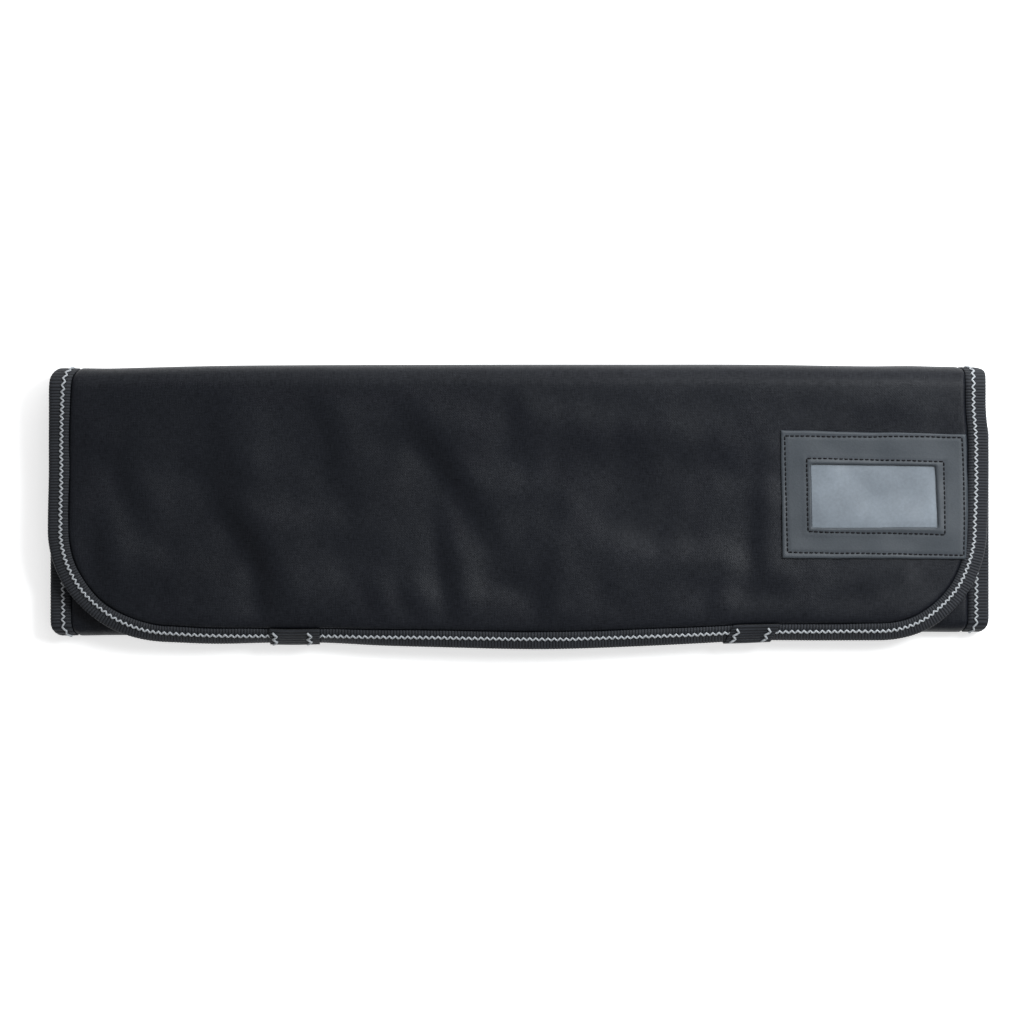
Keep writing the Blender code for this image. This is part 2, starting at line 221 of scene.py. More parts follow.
def spaced(start: float, end: float, step: float) -> list[float]:
    """Values from start to end, without start, at most about that step apart."""
    count = max(1, round(abs(end - start) / step))
    return [start + (end - start) * (i + 1) / count for i in range(count)]


def ripple(x: np.ndarray, y: np.ndarray, length: float, seed: float) -> np.ndarray:
    """A gentle irregular wave between about -1 and 1, the same each time.

    Args:
        x: Places one way, in metres.
        y: Places the other way, in metres.
        length: About how long one wave is.
        seed: Picks another wave.

    Returns:
        The height of the wave at each place.
    """
    turn = 2 * math.pi / length
    total = np.zeros_like(x, dtype=float)
    for i in range(5):
        angle = seed + 2.399963 * i
        pace = turn * (0.7 + 0.17 * i)
        total += np.sin(pace * (x * math.cos(angle) + y * math.sin(angle)) + 1.7 * seed * (i + 1))
    return total / 3


@dataclass
class Settled:
    """How far the flap's cloth has risen or sunk, on an even grid of places."""

    start: tuple[float, float]
    step: tuple[float, float]
    heights: np.ndarray

    @staticmethod
    def shares(t: np.ndarray) -> list[np.ndarray]:
        """The weights of the four nearest grid lines, for a smooth curve through the grid's heights."""
        return [
            (-t + 2 * t**2 - t**3) / 2,
            (2 - 5 * t**2 + 3 * t**3) / 2,
            (t + 4 * t**2 - 3 * t**3) / 2,
            (-(t**2) + t**3) / 2,
        ]

    def at(self, x: np.ndarray, run: np.ndarray) -> np.ndarray:
        """The height at places on the flat sheet, 0 past the grid."""
        columns, rows = self.heights.shape
        u = (np.asarray(x, float) - self.start[0]) / self.step[0]
        v = (np.asarray(run, float) - self.start[1]) / self.step[1]
        column, row = np.floor(u).astype(int), np.floor(v).astype(int)
        total = np.zeros_like(u)
        for i, across in enumerate(self.shares(u - column)):
            for j, up in enumerate(self.shares(v - row)):
                c, r = column + i - 1, row + j - 1
                inside = (c >= 0) & (c < columns) & (r >= 0) & (r < rows)
                near = self.heights[np.clip(c, 0, columns - 1), np.clip(r, 0, rows - 1)]
                total += across * up * near * inside
        return total


@dataclass
class FoldedSheet:
    """The padded sheet: its cut outline, its thickness, and where its points lie once it is folded."""

    roll_depth: float = 0.1466
    half_width: float = 0.2409
    flap_overhang: float = 0.0082
    knife_space: float = 0.005
    thickness: float = 0.004
    edge_thickness: float = 0.0016
    flap_clearance: float = 0.0027
    flap_rise: float = 0.0025
    flap_rise_run: float = 0.05
    top_bow: float = 0.0021
    top_reach: float = 0.0005
    bottom_drop: float = 0.0006
    bottom_tilt: float = 0.00096
    inner_end_setback: float = 0.004
    flap_corners: tuple[float, float] = (0.0595, 0.0545)
    inner_corner: float = 0.022
    dent_depth: float = 0.0019
    hem_curl_run: float = 0.015
    hem_creep: float = 0.0014
    hem_creep_fade: float = 0.05
    seam_pull: float = 0.0013
    seam_pull_run: float = 0.022
    pull_width: float = 0.05
    side_swell: float = 0.0018
    under_swell: float = 0.0015
    tape_gap: float = 0.0003
    tape_thickness: float = 0.0008
    tape_face: float = 0.0105
    settled: Settled | None = None

    def __post_init__(self) -> None:
        """Works out the folds and the runs from the sizes."""
        self.tape_reach = self.tape_gap + self.tape_thickness
        self.tape_lap = self.tape_face - self.tape_reach
        self.bottom_radius = (self.knife_space + self.thickness) / 2
        self.back_level = self.thickness / 2
        self.inner_level = self.back_level + 2 * self.bottom_radius
        self.flap_level = self.inner_level + self.thickness + self.flap_clearance
        self.top_radius = (self.flap_level + self.flap_rise - self.back_level) / 2
        self.top_centre = self.roll_depth / 2 - self.thickness / 2 - self.top_radius
        self.bottom_line = -self.roll_depth / 2 + self.flap_overhang
        self.bottom_centre = self.bottom_line + self.thickness / 2 + self.bottom_radius
        self.flap_run = self.top_centre + self.roll_depth / 2 - self.tape_reach
        self.back_start = self.flap_run + math.pi * self.top_radius
        self.back_run = self.top_centre - self.bottom_centre
        self.back_end = self.back_start + self.back_run
        self.inner_start = self.back_end + math.pi * self.bottom_radius
        self.length = self.inner_start + self.back_run - self.inner_end_setback

    def corner_at(self, x: np.ndarray) -> np.ndarray:
        """The radius of the flap's corner on that side: the right one is cut a little tighter."""
        return np.where(np.asarray(x) < 0, *self.flap_corners)

    def dents(self, x: np.ndarray, run: np.ndarray) -> np.ndarray:
        """The height of the flap's dents and ridges over its own level."""
        height = np.zeros_like(x, dtype=float)
        for dent in DENTS:
            across = x - dent.x * self.half_width
            up = run - dent.run * self.flap_run
            turned = across * math.cos(dent.lean) + up * math.sin(dent.lean)
            up = up * math.cos(dent.lean) - across * math.sin(dent.lean)
            turned = turned / (dent.width * self.flap_run)
            up = up / (dent.length * self.flap_run)
            slope = 1.7 * turned / (1 + turned**2) * np.exp(-((turned / 3.5) ** 2))
            height += (dent.step * slope - 0.3 * dent.dip * np.exp(-(turned**2))) * np.exp(-(up**2))
        height += 0.2 * ripple(x, run, 0.045, 1.3) + 0.06 * ripple(x, run, 0.018, 2.1)
        side_fade = eased((self.half_width - np.abs(x)) / (3.2 * self.tape_face))
        hem_fade = eased(run / (2 * self.tape_face))
        fold_fade = eased((self.flap_run + 0.5 * self.top_radius - run) / (2 * self.tape_face))
        return self.dent_depth * height * side_fade * hem_fade * fold_fade

    def top_centre_at(self, x: np.ndarray) -> np.ndarray:
        """The middle of the top fold, which bows out between the ends of the roll."""
        places = [point.x for point in TOP]
        short = smooth_through(places, [point.short for point in TOP], x / self.half_width)
        return self.top_centre + self.top_reach - self.top_bow * short

    def bottom_centre_at(self, x: np.ndarray) -> np.ndarray:
        """The middle of the bottom fold, which runs a little out of line with the top fold."""
        return self.bottom_centre - self.bottom_drop + self.bottom_tilt * x / self.half_width

    def crept(self, x: np.ndarray, run: np.ndarray) -> tuple[np.ndarray, np.ndarray]:
        """Lets the cloth and the tape's inner edge creep towards the hem; the cut edge stays in place.

        Args:
            x: Places along the roll.
            run: Places over the sheet from the flap's hem.

        Returns:
            The places that they creep to.
        """
        big = self.corner_at(x)
        over = np.clip(np.abs(x) - (self.half_width - big), 0.0, None)
        short = np.clip(big - run, 0.0, None)
        ring = np.maximum(np.hypot(over, short), MERGE)
        inset = big - ring
        weight = eased(1 - big * (1 - short / ring) / self.hem_creep_fade) * (short > 0)
        bump = eased(inset / self.tape_lap) * (1 - eased((inset - self.tape_lap - 0.003) / 0.022))
        move = -self.hem_creep * weight * bump
        return x - np.sign(x) * over / ring * move, run + short / ring * move

    def flap_middle(self, x: np.ndarray, run: np.ndarray) -> tuple[np.ndarray, np.ndarray]:
        """The middle of the sheet on the flap.

        Args:
            x: Places along the roll.
            run: Places over the sheet from the flap's hem.

        Returns:
            Their y and their z.
        """
        share = x / self.half_width
        places = [point.x for point in HEM]
        reach = smooth_through(places, [point.reach for point in HEM], share)
        curl = smooth_through(places, [point.curl for point in HEM], share)
        hem_y = self.bottom_line - self.flap_overhang * reach + self.tape_reach
        curl_radius = self.hem_curl_run / curl
        curl_y = hem_y + curl_radius * np.sin(curl)
        level = self.flap_level + self.flap_rise * eased(1 - (self.flap_run - run) / self.flap_rise_run)
        up = (run - self.hem_curl_run) / (self.flap_run - self.hem_curl_run)
        turn = curl * np.clip(1 - run / self.hem_curl_run, 0.0, None)
        y_curled = curl_y - curl_radius * np.sin(turn)
        y_open = curl_y + up * (self.top_centre_at(x) - curl_y)
        drop = curl_radius * (1 - np.cos(turn))
        z = level - drop + self.dents(x, run)
        if self.settled is not None:
            z = z + self.settled.at(x, run)
        return np.where(turn > 0, y_curled, y_open), z

    def side_shift(self, x: np.ndarray, run: np.ndarray) -> np.ndarray:
        """How far points move along X, where the folds pull the ends in and the sides swell out.

        Args:
            x: Places along the roll.
            run: Places over the sheet from the flap's hem.

        Returns:
            The move of each point.
        """
        inset = self.half_width - np.abs(x)
        near_side = eased(1 - inset / self.pull_width)
        from_top = run - (self.flap_run + math.pi * self.top_radius / 2)
        from_bottom = run - (self.back_end + math.pi * self.bottom_radius / 2)
        pulls = [
            top.pull * np.exp(-((from_top / top.run) ** 2))
            + bottom.pull * np.exp(-((from_bottom / bottom.run) ** 2))
            for top, bottom in zip(TOP_ENDS, BOTTOM_ENDS)
        ]
        seam = self.seam_pull * np.exp(-((from_top / self.seam_pull_run) ** 2)) * eased(inset / 0.006)
        pull = np.where(x < 0, pulls[0] + seam, pulls[1])
        places = [point.run for point in SIDES]
        left = smooth_through(places, [point.left for point in SIDES], run / self.flap_run)
        right = smooth_through(places, [point.right for point in SIDES], run / self.flap_run)
        past_fold = eased((self.back_start - run) / (self.back_start - self.flap_run))
        swell = self.side_swell * np.where(x < 0, left, right) * past_fold
        under = self.under_swell * eased((run - self.back_start) / 0.03) * (x > 0)
        return np.sign(x) * near_side * (swell + under - pull)

    def middle(self, x: np.ndarray, run: np.ndarray) -> np.ndarray:
        """Where points of the middle of the sheet lie once the sheet is folded.

        Args:
            x: Places along the roll.
            run: Places over the sheet from the flap's hem.

        Returns:
            A row of x, y and z for each point.
        """
        x, run = self.crept(x, run)
        top_centre = self.top_centre_at(x)
        bottom_centre = self.bottom_centre_at(x)
        flap_y, flap_z = self.flap_middle(x, run)
        top_turn = (run - self.flap_run) / self.top_radius
        back_share = (run - self.back_start) / self.back_run
        bottom_turn = (run - self.back_end) / self.bottom_radius
        where = [run < self.flap_run, run < self.back_start, run < self.back_end, run < self.inner_start]
        y = np.select(
            where,
            [
                flap_y,
                top_centre + self.top_radius * np.sin(top_turn),
                top_centre + back_share * (bottom_centre - top_centre),
                bottom_centre - self.bottom_radius * np.sin(bottom_turn),
            ],
            bottom_centre + run - self.inner_start,
        )
        level = np.full_like(x, self.back_level, dtype=float)
        z = np.select(
            where,
            [
                flap_z,
                self.back_level + self.top_radius * (1 + np.cos(top_turn)),
                level,
                self.back_level + self.bottom_radius * (1 - np.cos(bottom_turn)),
            ],
            self.inner_level,
        )
        return np.stack([x + self.side_shift(x, run), y, z], axis=1)

    def folded(self, x: np.ndarray, run: np.ndarray, height: np.ndarray) -> np.ndarray:
        """Bends flat work round the folds.

        Args:
            x: Places along the roll.
            run: Places over the sheet from the flap's hem.
            height: Heights over the middle of the sheet, with the outer face up.

        Returns:
            A row of x, y and z for each point.
        """
        step = 0.0002
        x = np.asarray(x, float)
        run = np.asarray(run, float)
        along = self.middle(x + step, run) - self.middle(x - step, run)
        up = self.middle(x, run + step) - self.middle(x, run - step)
        normal = np.cross(along, up)
        normal /= np.linalg.norm(normal, axis=1, keepdims=True)
        return self.middle(x, run) + np.asarray(height, float)[:, None] * normal

    def rounded(self, x: np.ndarray, run: np.ndarray) -> tuple[np.ndarray, np.ndarray]:
        """Moves points of a square-cornered sheet, ring by ring, so that the corners take their radii.

        Args:
            x: Places along the roll.
            run: Places over the sheet from the flap's hem.

        Returns:
            The moved places.
        """
        side = self.half_width - np.abs(x)
        for is_flap, radius in ((True, self.corner_at(x)), (False, self.inner_corner)):
            end = run if is_flap else self.length - run
            inside = (side < radius) & (end < radius)
            ring = np.maximum(radius - np.minimum(side, end), MERGE)
            turn = math.pi / 4 * (1 - np.abs(side - end) / ring)
            across = np.where(end < side, np.sin(turn), np.cos(turn))
            up = np.where(end < side, np.cos(turn), np.sin(turn))
            moved_x = np.copysign(self.half_width - radius + ring * across, x)
            moved_end = radius - ring * up
            x = np.where(inside, moved_x, x)
            run = np.where(inside, moved_end if is_flap else self.length - moved_end, run)
        return x, run

    def inset(self, x: np.ndarray, run: np.ndarray) -> np.ndarray:
        """How far points of the square-cornered sheet lie in from its nearest edge."""
        return np.minimum(self.half_width - np.abs(x), np.minimum(run, self.length - run))

    def face_height(self, inset: np.ndarray) -> np.ndarray:
        """Half the sheet's thickness: pressed thin under the tape, plump beside it, then even."""
        past = np.clip((inset - self.tape_lap - 0.0001) / 0.0021, 0.0, 1.0)
        climb = np.sqrt(1 - (1 - past) ** 2)
        plump = 0.00015 * eased(past) * (1 - eased((inset - self.tape_lap - 0.004) / 0.016))
        return self.edge_thickness / 2 + (self.thickness - self.edge_thickness) / 2 * climb + plump

    def outline_length(self) -> float:
        """The length of the cut edge, once round the sheet."""
        return sum(length for length, _ in self.outline_parts())

    def outline_parts(self) -> list[tuple[float, Callable[[np.ndarray], np.ndarray]]]:
        """The cut edge from the left of the flap's hem, to the right.

        Returns:
            For each stretch its length, and what gives place and inward direction at a distance.
        """
        w, length, small = self.half_width, self.length, self.inner_corner
        left, right = self.flap_corners

        def line(x: float, run: float, dx: float, drun: float) -> Callable[[np.ndarray], np.ndarray]:
            """A straight stretch, with the sheet on its left."""
            return lambda s: np.stack(
                [x + dx * s, run + drun * s, np.full_like(s, -drun), np.full_like(s, dx)], axis=1
            )

        def arc(x: float, run: float, radius: float, start: float) -> Callable[[np.ndarray], np.ndarray]:
            """A corner round that centre, from that angle on, turning left."""

            def at(s: np.ndarray) -> np.ndarray:
                """Place and inward direction at the distance s."""
                turn = start + s / radius
                across, up = np.cos(turn), np.sin(turn)
                return np.stack([x + radius * across, run + radius * up, -across, -up], axis=1)

            return at

        quarter = math.pi / 2
        return [
            (2 * w - left - right, line(-w + left, 0.0, 1.0, 0.0)),
            (quarter * right, arc(w - right, right, right, -quarter)),
            (length - right - small, line(w, right, 0.0, 1.0)),
            (quarter * small, arc(w - small, length - small, small, 0.0)),
            (2 * (w - small), line(w - small, length, -1.0, 0.0)),
            (quarter * small, arc(-w + small, length - small, small, quarter)),
            (length - left - small, line(-w, length - small, 0.0, -1.0)),
            (quarter * left, arc(-w + left, left, left, 2 * quarter)),
        ]

    def outline(self, distance: np.ndarray) -> np.ndarray:
        """Follows the cut edge.

        Args:
            distance: Distances along the cut edge.

        Returns:
            Rows of x, run and the inward direction's two parts.
        """
        rest = np.asarray(distance, float) % self.outline_length()
        rows = np.zeros((len(rest), 4))
        for length, part in self.outline_parts():
            here = (rest >= 0) & (rest < length)
            rows[here] = part(rest[here])
            rest = np.where(here, -1.0, np.where(rest < 0, -1.0, rest - length))
        return rows

    def beside_edge(self, distance: np.ndarray, inset: np.ndarray, height: np.ndarray) -> np.ndarray:
        """Folds up points that are given by where they lie beside the cut edge.

        Args:
            distance: Distances along the cut edge.
            inset: How far in from it they lie.
            height: Heights over the middle of the sheet.

        Returns:
            A row of x, y and z for each point.
        """
        rows = self.outline(distance)
        x = rows[:, 0] + inset * rows[:, 2]
        run = rows[:, 1] + inset * rows[:, 3]
        return self.folded(x, run, height)


def grid_mesh(name: str, columns: int, rows: int) -> tuple[bpy.types.Mesh, np.ndarray, np.ndarray]:
    """A flat grid to be moved into shape.

    Args:
        name: The mesh's name.
        columns: How many lines of vertices it has along X.
        rows: How many it has along Y.

    Returns:
        The mesh, and each vertex's column and row.
    """
    grid = bmesh.new()
    bmesh.ops.create_grid(grid, x_segments=columns - 1, y_segments=rows - 1, size=0.5)
    mesh = bpy.data.meshes.new(name)
    grid.to_mesh(mesh)
    grid.free()
    place = points_of(mesh)
    column = np.rint((place[:, 0] + 0.5) * (columns - 1)).astype(int)
    row = np.rint((place[:, 1] + 0.5) * (rows - 1)).astype(int)
    return mesh, column, row


def points_of(mesh: bpy.types.Mesh) -> np.ndarray:
    """The mesh's vertices as rows of x, y and z."""
    flat = np.empty(len(mesh.vertices) * 3, dtype=np.float32)
    mesh.vertices.foreach_get("co", flat)
    return flat.reshape(-1, 3).astype(float)


def move_points(mesh: bpy.types.Mesh, places: np.ndarray) -> None:
    """Moves the mesh's vertices to those places."""
    mesh.vertices.foreach_set("co", np.ascontiguousarray(places, dtype=np.float32).ravel())
    mesh.update()


def lay_flat_map(mesh: bpy.types.Mesh, across: np.ndarray, along: np.ndarray) -> None:
    """Gives the mesh a map of where each vertex lies on its flat cloth, in metres."""
    vertex = np.empty(len(mesh.loops), dtype=np.int32)
    mesh.loops.foreach_get("vertex_index", vertex)
    layer = mesh.uv_layers.get(FLAT_UV) or mesh.uv_layers.new(name=FLAT_UV)
    both = np.stack([across[vertex], along[vertex]], axis=1).astype(np.float32)
    layer.uv.foreach_set("vector", both.ravel())


def two_faced(name: str, grid: bmesh.types.BMesh) -> tuple[bpy.types.Mesh, np.ndarray, np.ndarray]:
    """Gives a flat grid its second face.

    Args:
        name: The mesh's name.
        grid: The grid, which is used up.

    Returns:
        The mesh, its points, and which of them are on the upper face.
    """
    bmesh.ops.solidify(grid, geom=list(grid.faces), thickness=0.1)
    mesh = bpy.data.meshes.new(name)
    grid.to_mesh(mesh)
    grid.free()
    place = points_of(mesh)
    return mesh, place, place[:, 2] > place[:, 2].mean()


def put_in_scene(name: str, data: bpy.types.ID) -> bpy.types.Object:
    """Makes an object of a mesh, curve, light or camera and links it."""
    thing = bpy.data.objects.new(name, data)
    bpy.context.scene.collection.objects.link(thing)
    return thing


def zigzag(count: int, per_pitch: int) -> np.ndarray:
    """How far a zigzag swings, from -1 to 1 and back once a pitch, at that many steps."""
    phase = (np.arange(count) % per_pitch) / per_pitch
    return np.where(phase < 0.5, 4 * phase - 1, 3 - 4 * phase)


def rib_rise(turn: np.ndarray, height: float) -> np.ndarray:
    """The height of round ribs over their grooves, one rib for each half turn."""
    return height * np.abs(np.sin(turn)) ** 0.8


def close_up(mesh: bpy.types.Mesh, fill_ends: bool = False) -> None:
    """Merges a mesh's seams, fills its open ends if asked, and turns its faces out."""
    work = bmesh.new()
    work.from_mesh(mesh)
    bmesh.ops.remove_doubles(work, verts=work.verts, dist=MERGE)
    if fill_ends:
        bmesh.ops.holes_fill(work, edges=work.edges)
    bmesh.ops.recalc_face_normals(work, faces=work.faces)
    work.to_mesh(mesh)
    work.free()


def add_piece(name: str, mesh: bpy.types.Mesh, material: bpy.types.Material) -> bpy.types.Object:
    """Puts a finished mesh in the scene, riding on the roll.

    Args:
        name: The piece's name.
        mesh: Its mesh, in its place.
        material: Its finish.

    Returns:
        The piece.
    """
    mesh.shade_smooth()
    mesh.materials.clear()
    mesh.materials.append(material)
    piece = put_in_scene(name, mesh)
    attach(piece, ROOT)
    LOG.info("%s: %d faces", name, len(mesh.polygons))
    return piece


def thread_mesh(name: str, strands: Sequence[np.ndarray], radius: float, closed: bool) -> bpy.types.Mesh:
    """Round thread along paths.

    Args:
        name: The mesh's name.
        strands: The paths, each a row of x, y and z for each point.
        radius: Half the thread's thickness.
        closed: True where each path comes back to its start.

    Returns:
        The mesh of all the strands.
    """
    curve = bpy.data.curves.new(name, "CURVE")
    curve.dimensions = "3D"
    curve.bevel_depth = radius
    curve.bevel_resolution = 1
    curve.use_fill_caps = not closed
    for strand in strands:
        spline = curve.splines.new("POLY")
        spline.points.add(len(strand) - 1)
        rows = np.concatenate([strand, np.ones((len(strand), 1))], axis=1)
        spline.points.foreach_set("co", rows.astype(np.float32).ravel())
        spline.use_cyclic_u = closed
    guide = put_in_scene(name, curve)
    seen = guide.evaluated_get(bpy.context.evaluated_depsgraph_get())
    mesh = bpy.data.meshes.new_from_object(seen)
    bpy.data.objects.remove(guide)
    bpy.data.curves.remove(curve)
    close_up(mesh)
    return mesh


class NodeSheet:
    """A node tree that is filled from left to right with short calls."""

    def __init__(self, tree: bpy.types.NodeTree) -> None:
        """Starts on that tree."""
        self.tree = tree
        self.count = 0

    def add(self, kind: str, inputs: dict | None = None, **settings: object) -> bpy.types.Node:
        """Adds a node.

        Args:
            kind: The node's type.
            inputs: For input names or numbers, a value, or a socket to link.
            settings: Properties of the node.

        Returns:
            The node.
        """
        node = self.tree.nodes.new(kind)
        node.location = (180 * self.count, 0)
        self.count += 1
        for name, value in settings.items():
            setattr(node, name, value)
        for name, value in (inputs or {}).items():
            self.put(node, name, value)
        return node

    def put(self, node: bpy.types.Node, name: str | int, value: object) -> None:
        """Sets one input of a node, or links it."""
        if isinstance(value, bpy.types.NodeSocket):
            self.tree.links.new(value, node.inputs[name])
        else:
            node.inputs[name].default_value = value

    def maths(self, operation: str, *values: object) -> bpy.types.NodeSocket:
        """The result of a Math node on those values."""
        inputs = dict(enumerate(values))
        return self.add("ShaderNodeMath", inputs, operation=operation).outputs[0]

    def noise(self, vector: bpy.types.NodeSocket, scale: object, detail: float) -> bpy.types.NodeSocket:
        """The grey of a Noise Texture."""
        inputs = {"Vector": vector, "Scale": scale, "Detail": detail, "Roughness": 0.55}
        return self.add("ShaderNodeTexNoise", inputs).outputs["Fac"]


def new_group(name: str, inputs: dict[str, tuple[str, object]], outputs: dict[str, str]) -> NodeSheet:
    """Starts a node group with named sockets.

    Args:
        name: The group's name.
        inputs: For each input, its socket type and default value.
        outputs: For each output, its socket type.

    Returns:
        A sheet on the group's tree, with its Group Input and Group Output placed.
    """
    tree = bpy.data.node_groups.new(name, "ShaderNodeTree")
    for label, (kind, value) in inputs.items():
        socket = tree.interface.new_socket(name=label, in_out="INPUT", socket_type=kind)
        if value is not None:
            socket.default_value = value
    for label, kind in outputs.items():
        tree.interface.new_socket(name=label, in_out="OUTPUT", socket_type=kind)
    sheet = NodeSheet(tree)
    sheet.add("NodeGroupInput")
    sheet.add("NodeGroupOutput")
    return sheet


FLOAT = "NodeSocketFloat"
VECTOR = "NodeSocketVector"


def weave_group() -> bpy.types.NodeTree:
    """Plain weave: threads that pass over and under each other, a little uneven, with painted shade where
    they pass under.
    """
    sheet = new_group(
        "plain_weave",
        {
            "Place": (VECTOR, None),
            "Thread": (FLOAT, 0.0005),
            "Unevenness": (FLOAT, 0.3),
            "Contrast": (FLOAT, 1.0),
        },
        {"Height": FLOAT, "Shade": FLOAT},
    )
    place, thread, uneven, contrast = (sheet.tree.nodes["Group Input"].outputs[i] for i in range(4))
    wobble = sheet.noise(place, 900.0, 2.0)
    shift = sheet.maths("MULTIPLY", sheet.maths("SUBTRACT", wobble, 0.5), uneven)
    split = sheet.add("ShaderNodeSeparateXYZ", {"Vector": place})
    turns = []
    for axis in ("X", "Y"):
        threads = sheet.maths("DIVIDE", split.outputs[axis], thread)
        turns.append(sheet.maths("MULTIPLY", sheet.maths("ADD", threads, shift), math.pi))
    waves = [sheet.maths("SINE", turn) for turn in turns]
    over = sheet.maths("MULTIPLY", *waves)
    height = sheet.maths("ADD", sheet.maths("MULTIPLY", over, 0.5), 0.5)
    slubs = sheet.noise(place, 1500.0, 2.0)
    for stretch in ((0.12, 1.0, 1.0), (1.0, 0.12, 1.0)):
        longer = sheet.add("ShaderNodeVectorMath", {0: place, 1: stretch}, operation="MULTIPLY").outputs[0]
        slubs = sheet.maths("ADD", slubs, sheet.noise(longer, 2000.0, 1.0))
    uneven_shade = sheet.maths("MULTIPLY", sheet.maths("SUBTRACT", slubs, 1.5), contrast)
    # Painted shade: lighter on the threads that pass over, darker where they pass under; the slubs add random
    # tone.
    shade = sheet.maths("ADD", uneven_shade, sheet.maths("ADD", sheet.maths("MULTIPLY", height, 0.2), 0.9))
    output = sheet.tree.nodes["Group Output"]
    sheet.put(output, "Height", height)
    sheet.put(output, "Shade", shade)
    return sheet.tree


def mottle_group() -> bpy.types.NodeTree:
    """Soft random patches, a little lighter and darker in places."""
    sheet = new_group(
        "soft_mottle",
        {"Place": (VECTOR, None), "Size": (FLOAT, 0.05), "Strength": (FLOAT, 0.3)},
        {"Shade": FLOAT},
    )
    place, size, strength = (sheet.tree.nodes["Group Input"].outputs[i] for i in range(3))
    scale = sheet.maths("DIVIDE", 1.0, size)
    patches = sheet.noise(place, scale, 4.0)
    fine = sheet.noise(place, sheet.maths("MULTIPLY", scale, 14.0), 3.0)
    both = sheet.maths("ADD", sheet.maths("MULTIPLY", patches, 1.4), sheet.maths("MULTIPLY", fine, 0.6))
    centred = sheet.maths("SUBTRACT", both, 1.0)
    shade = sheet.maths("ADD", sheet.maths("MULTIPLY", centred, strength), 1.0)
    sheet.put(sheet.tree.nodes["Group Output"], "Shade", shade)
    return sheet.tree


def grain_group() -> bpy.types.NodeTree:
    """Fine pebbled grain, with thin creases between the pebbles."""
    sheet = new_group(
        "pebble_grain",
        {"Place": (VECTOR, None), "Pebble": (FLOAT, 0.0009)},
        {"Height": FLOAT, "Crease": FLOAT},
    )
    place, pebble = (sheet.tree.nodes["Group Input"].outputs[i] for i in range(2))
    scale = sheet.maths("DIVIDE", 1.0, pebble)
    cells = sheet.add(
        "ShaderNodeTexVoronoi", {"Vector": place, "Scale": scale}, feature="SMOOTH_F1"
    ).outputs["Distance"]
    fine = sheet.noise(place, sheet.maths("MULTIPLY", scale, 3.0), 2.0)
    height = sheet.maths("SUBTRACT", sheet.maths("MULTIPLY", fine, 0.4), cells)
    output = sheet.tree.nodes["Group Output"]
    sheet.put(output, "Height", height)
    sheet.put(output, "Crease", cells)
    return sheet.tree


class Groups:
    """The node groups that more than one finish uses, each built once."""

    _built: dict[str, bpy.types.NodeTree] = {}
    _makers: dict[str, Callable[[], bpy.types.NodeTree]] = {
        "weave": weave_group,
        "mottle": mottle_group,
        "grain": grain_group,
    }

    @classmethod
    def get(cls, name: str) -> bpy.types.NodeTree:
        """The group of that name, built when it is first wanted."""
        if name not in cls._built:
            cls._built[name] = cls._makers[name]()
        return cls._built[name]


@dataclass(frozen=True)
class Finish:
    """What every finish has: its colour in linear light, and how it shines."""

    name: str
    colour: tuple[float, float, float]
    roughness: float
    specular: float = 0.5

    def start(self) -> tuple[bpy.types.Material, NodeSheet, bpy.types.Node]:
        """A new material, a sheet on its tree, and its Principled shader."""
        material = bpy.data.materials.new(self.name)
        material.use_nodes = True
        shader = material.node_tree.nodes["Principled BSDF"]
        shader.inputs["Base Color"].default_value = (*self.colour, 1.0)
        shader.inputs["Roughness"].default_value = self.roughness
        shader.inputs["Specular IOR Level"].default_value = self.specular
        return material, NodeSheet(material.node_tree), shader

    def shaded(self, sheet: NodeSheet, shader: bpy.types.Node, shade: bpy.types.NodeSocket) -> None:
        """Makes the base colour lighter and darker with a shade around 1."""
        colour = sheet.add("ShaderNodeVectorMath", {0: self.colour, 1: shade}, operation="MULTIPLY")
        sheet.put(shader, "Base Color", colour.outputs[0])

    def bumped(
        self,
        sheet: NodeSheet,
        shader: bpy.types.Node,
        height: bpy.types.NodeSocket,
        depth: float,
        strength: float,
    ) -> None:
        """Raises the surface by a height from 0 to 1."""
        bump = sheet.add("ShaderNodeBump", {"Strength": strength, "Distance": depth, "Height": height})
        sheet.put(shader, "Normal", bump.outputs["Normal"])


def place_group(sheet: NodeSheet, name: str, inputs: dict) -> bpy.types.Node:
    """Places a shared group in a material with the material's own values."""
    node = sheet.add("ShaderNodeGroup", node_tree=Groups.get(name))
    for label, value in inputs.items():
        sheet.put(node, label, value)
    return node


@dataclass(frozen=True)
class ClothFinish(Finish):
    """Woven cloth, on its own flat map."""

    thread: float = 0.00042
    weave_depth: float = 0.0001
    contrast: float = 0.8
    mottle: float = 0.3
    mottle_size: float = 0.06
    sheen: float = 0.0

    def material(self) -> bpy.types.Material:
        """Builds the material."""
        material, sheet, shader = self.start()
        shader.inputs["Sheen Weight"].default_value = self.sheen
        place = sheet.add("ShaderNodeUVMap", uv_map=FLAT_UV).outputs["UV"]
        weave = place_group(
            sheet, "weave", {"Place": place, "Thread": self.thread, "Contrast": self.contrast}
        )
        mottle = place_group(
            sheet, "mottle", {"Place": place, "Size": self.mottle_size, "Strength": self.mottle}
        )
        # The weave's shade holds painted shade between the threads; the mottle is random tone.
        shade = sheet.maths("MULTIPLY", weave.outputs["Shade"], mottle.outputs["Shade"])
        self.shaded(sheet, shader, shade)
        sheet.put(shader, "Specular IOR Level", sheet.maths("MULTIPLY", shade, self.specular))
        self.bumped(sheet, shader, weave.outputs["Height"], self.weave_depth, 0.6)
        return material


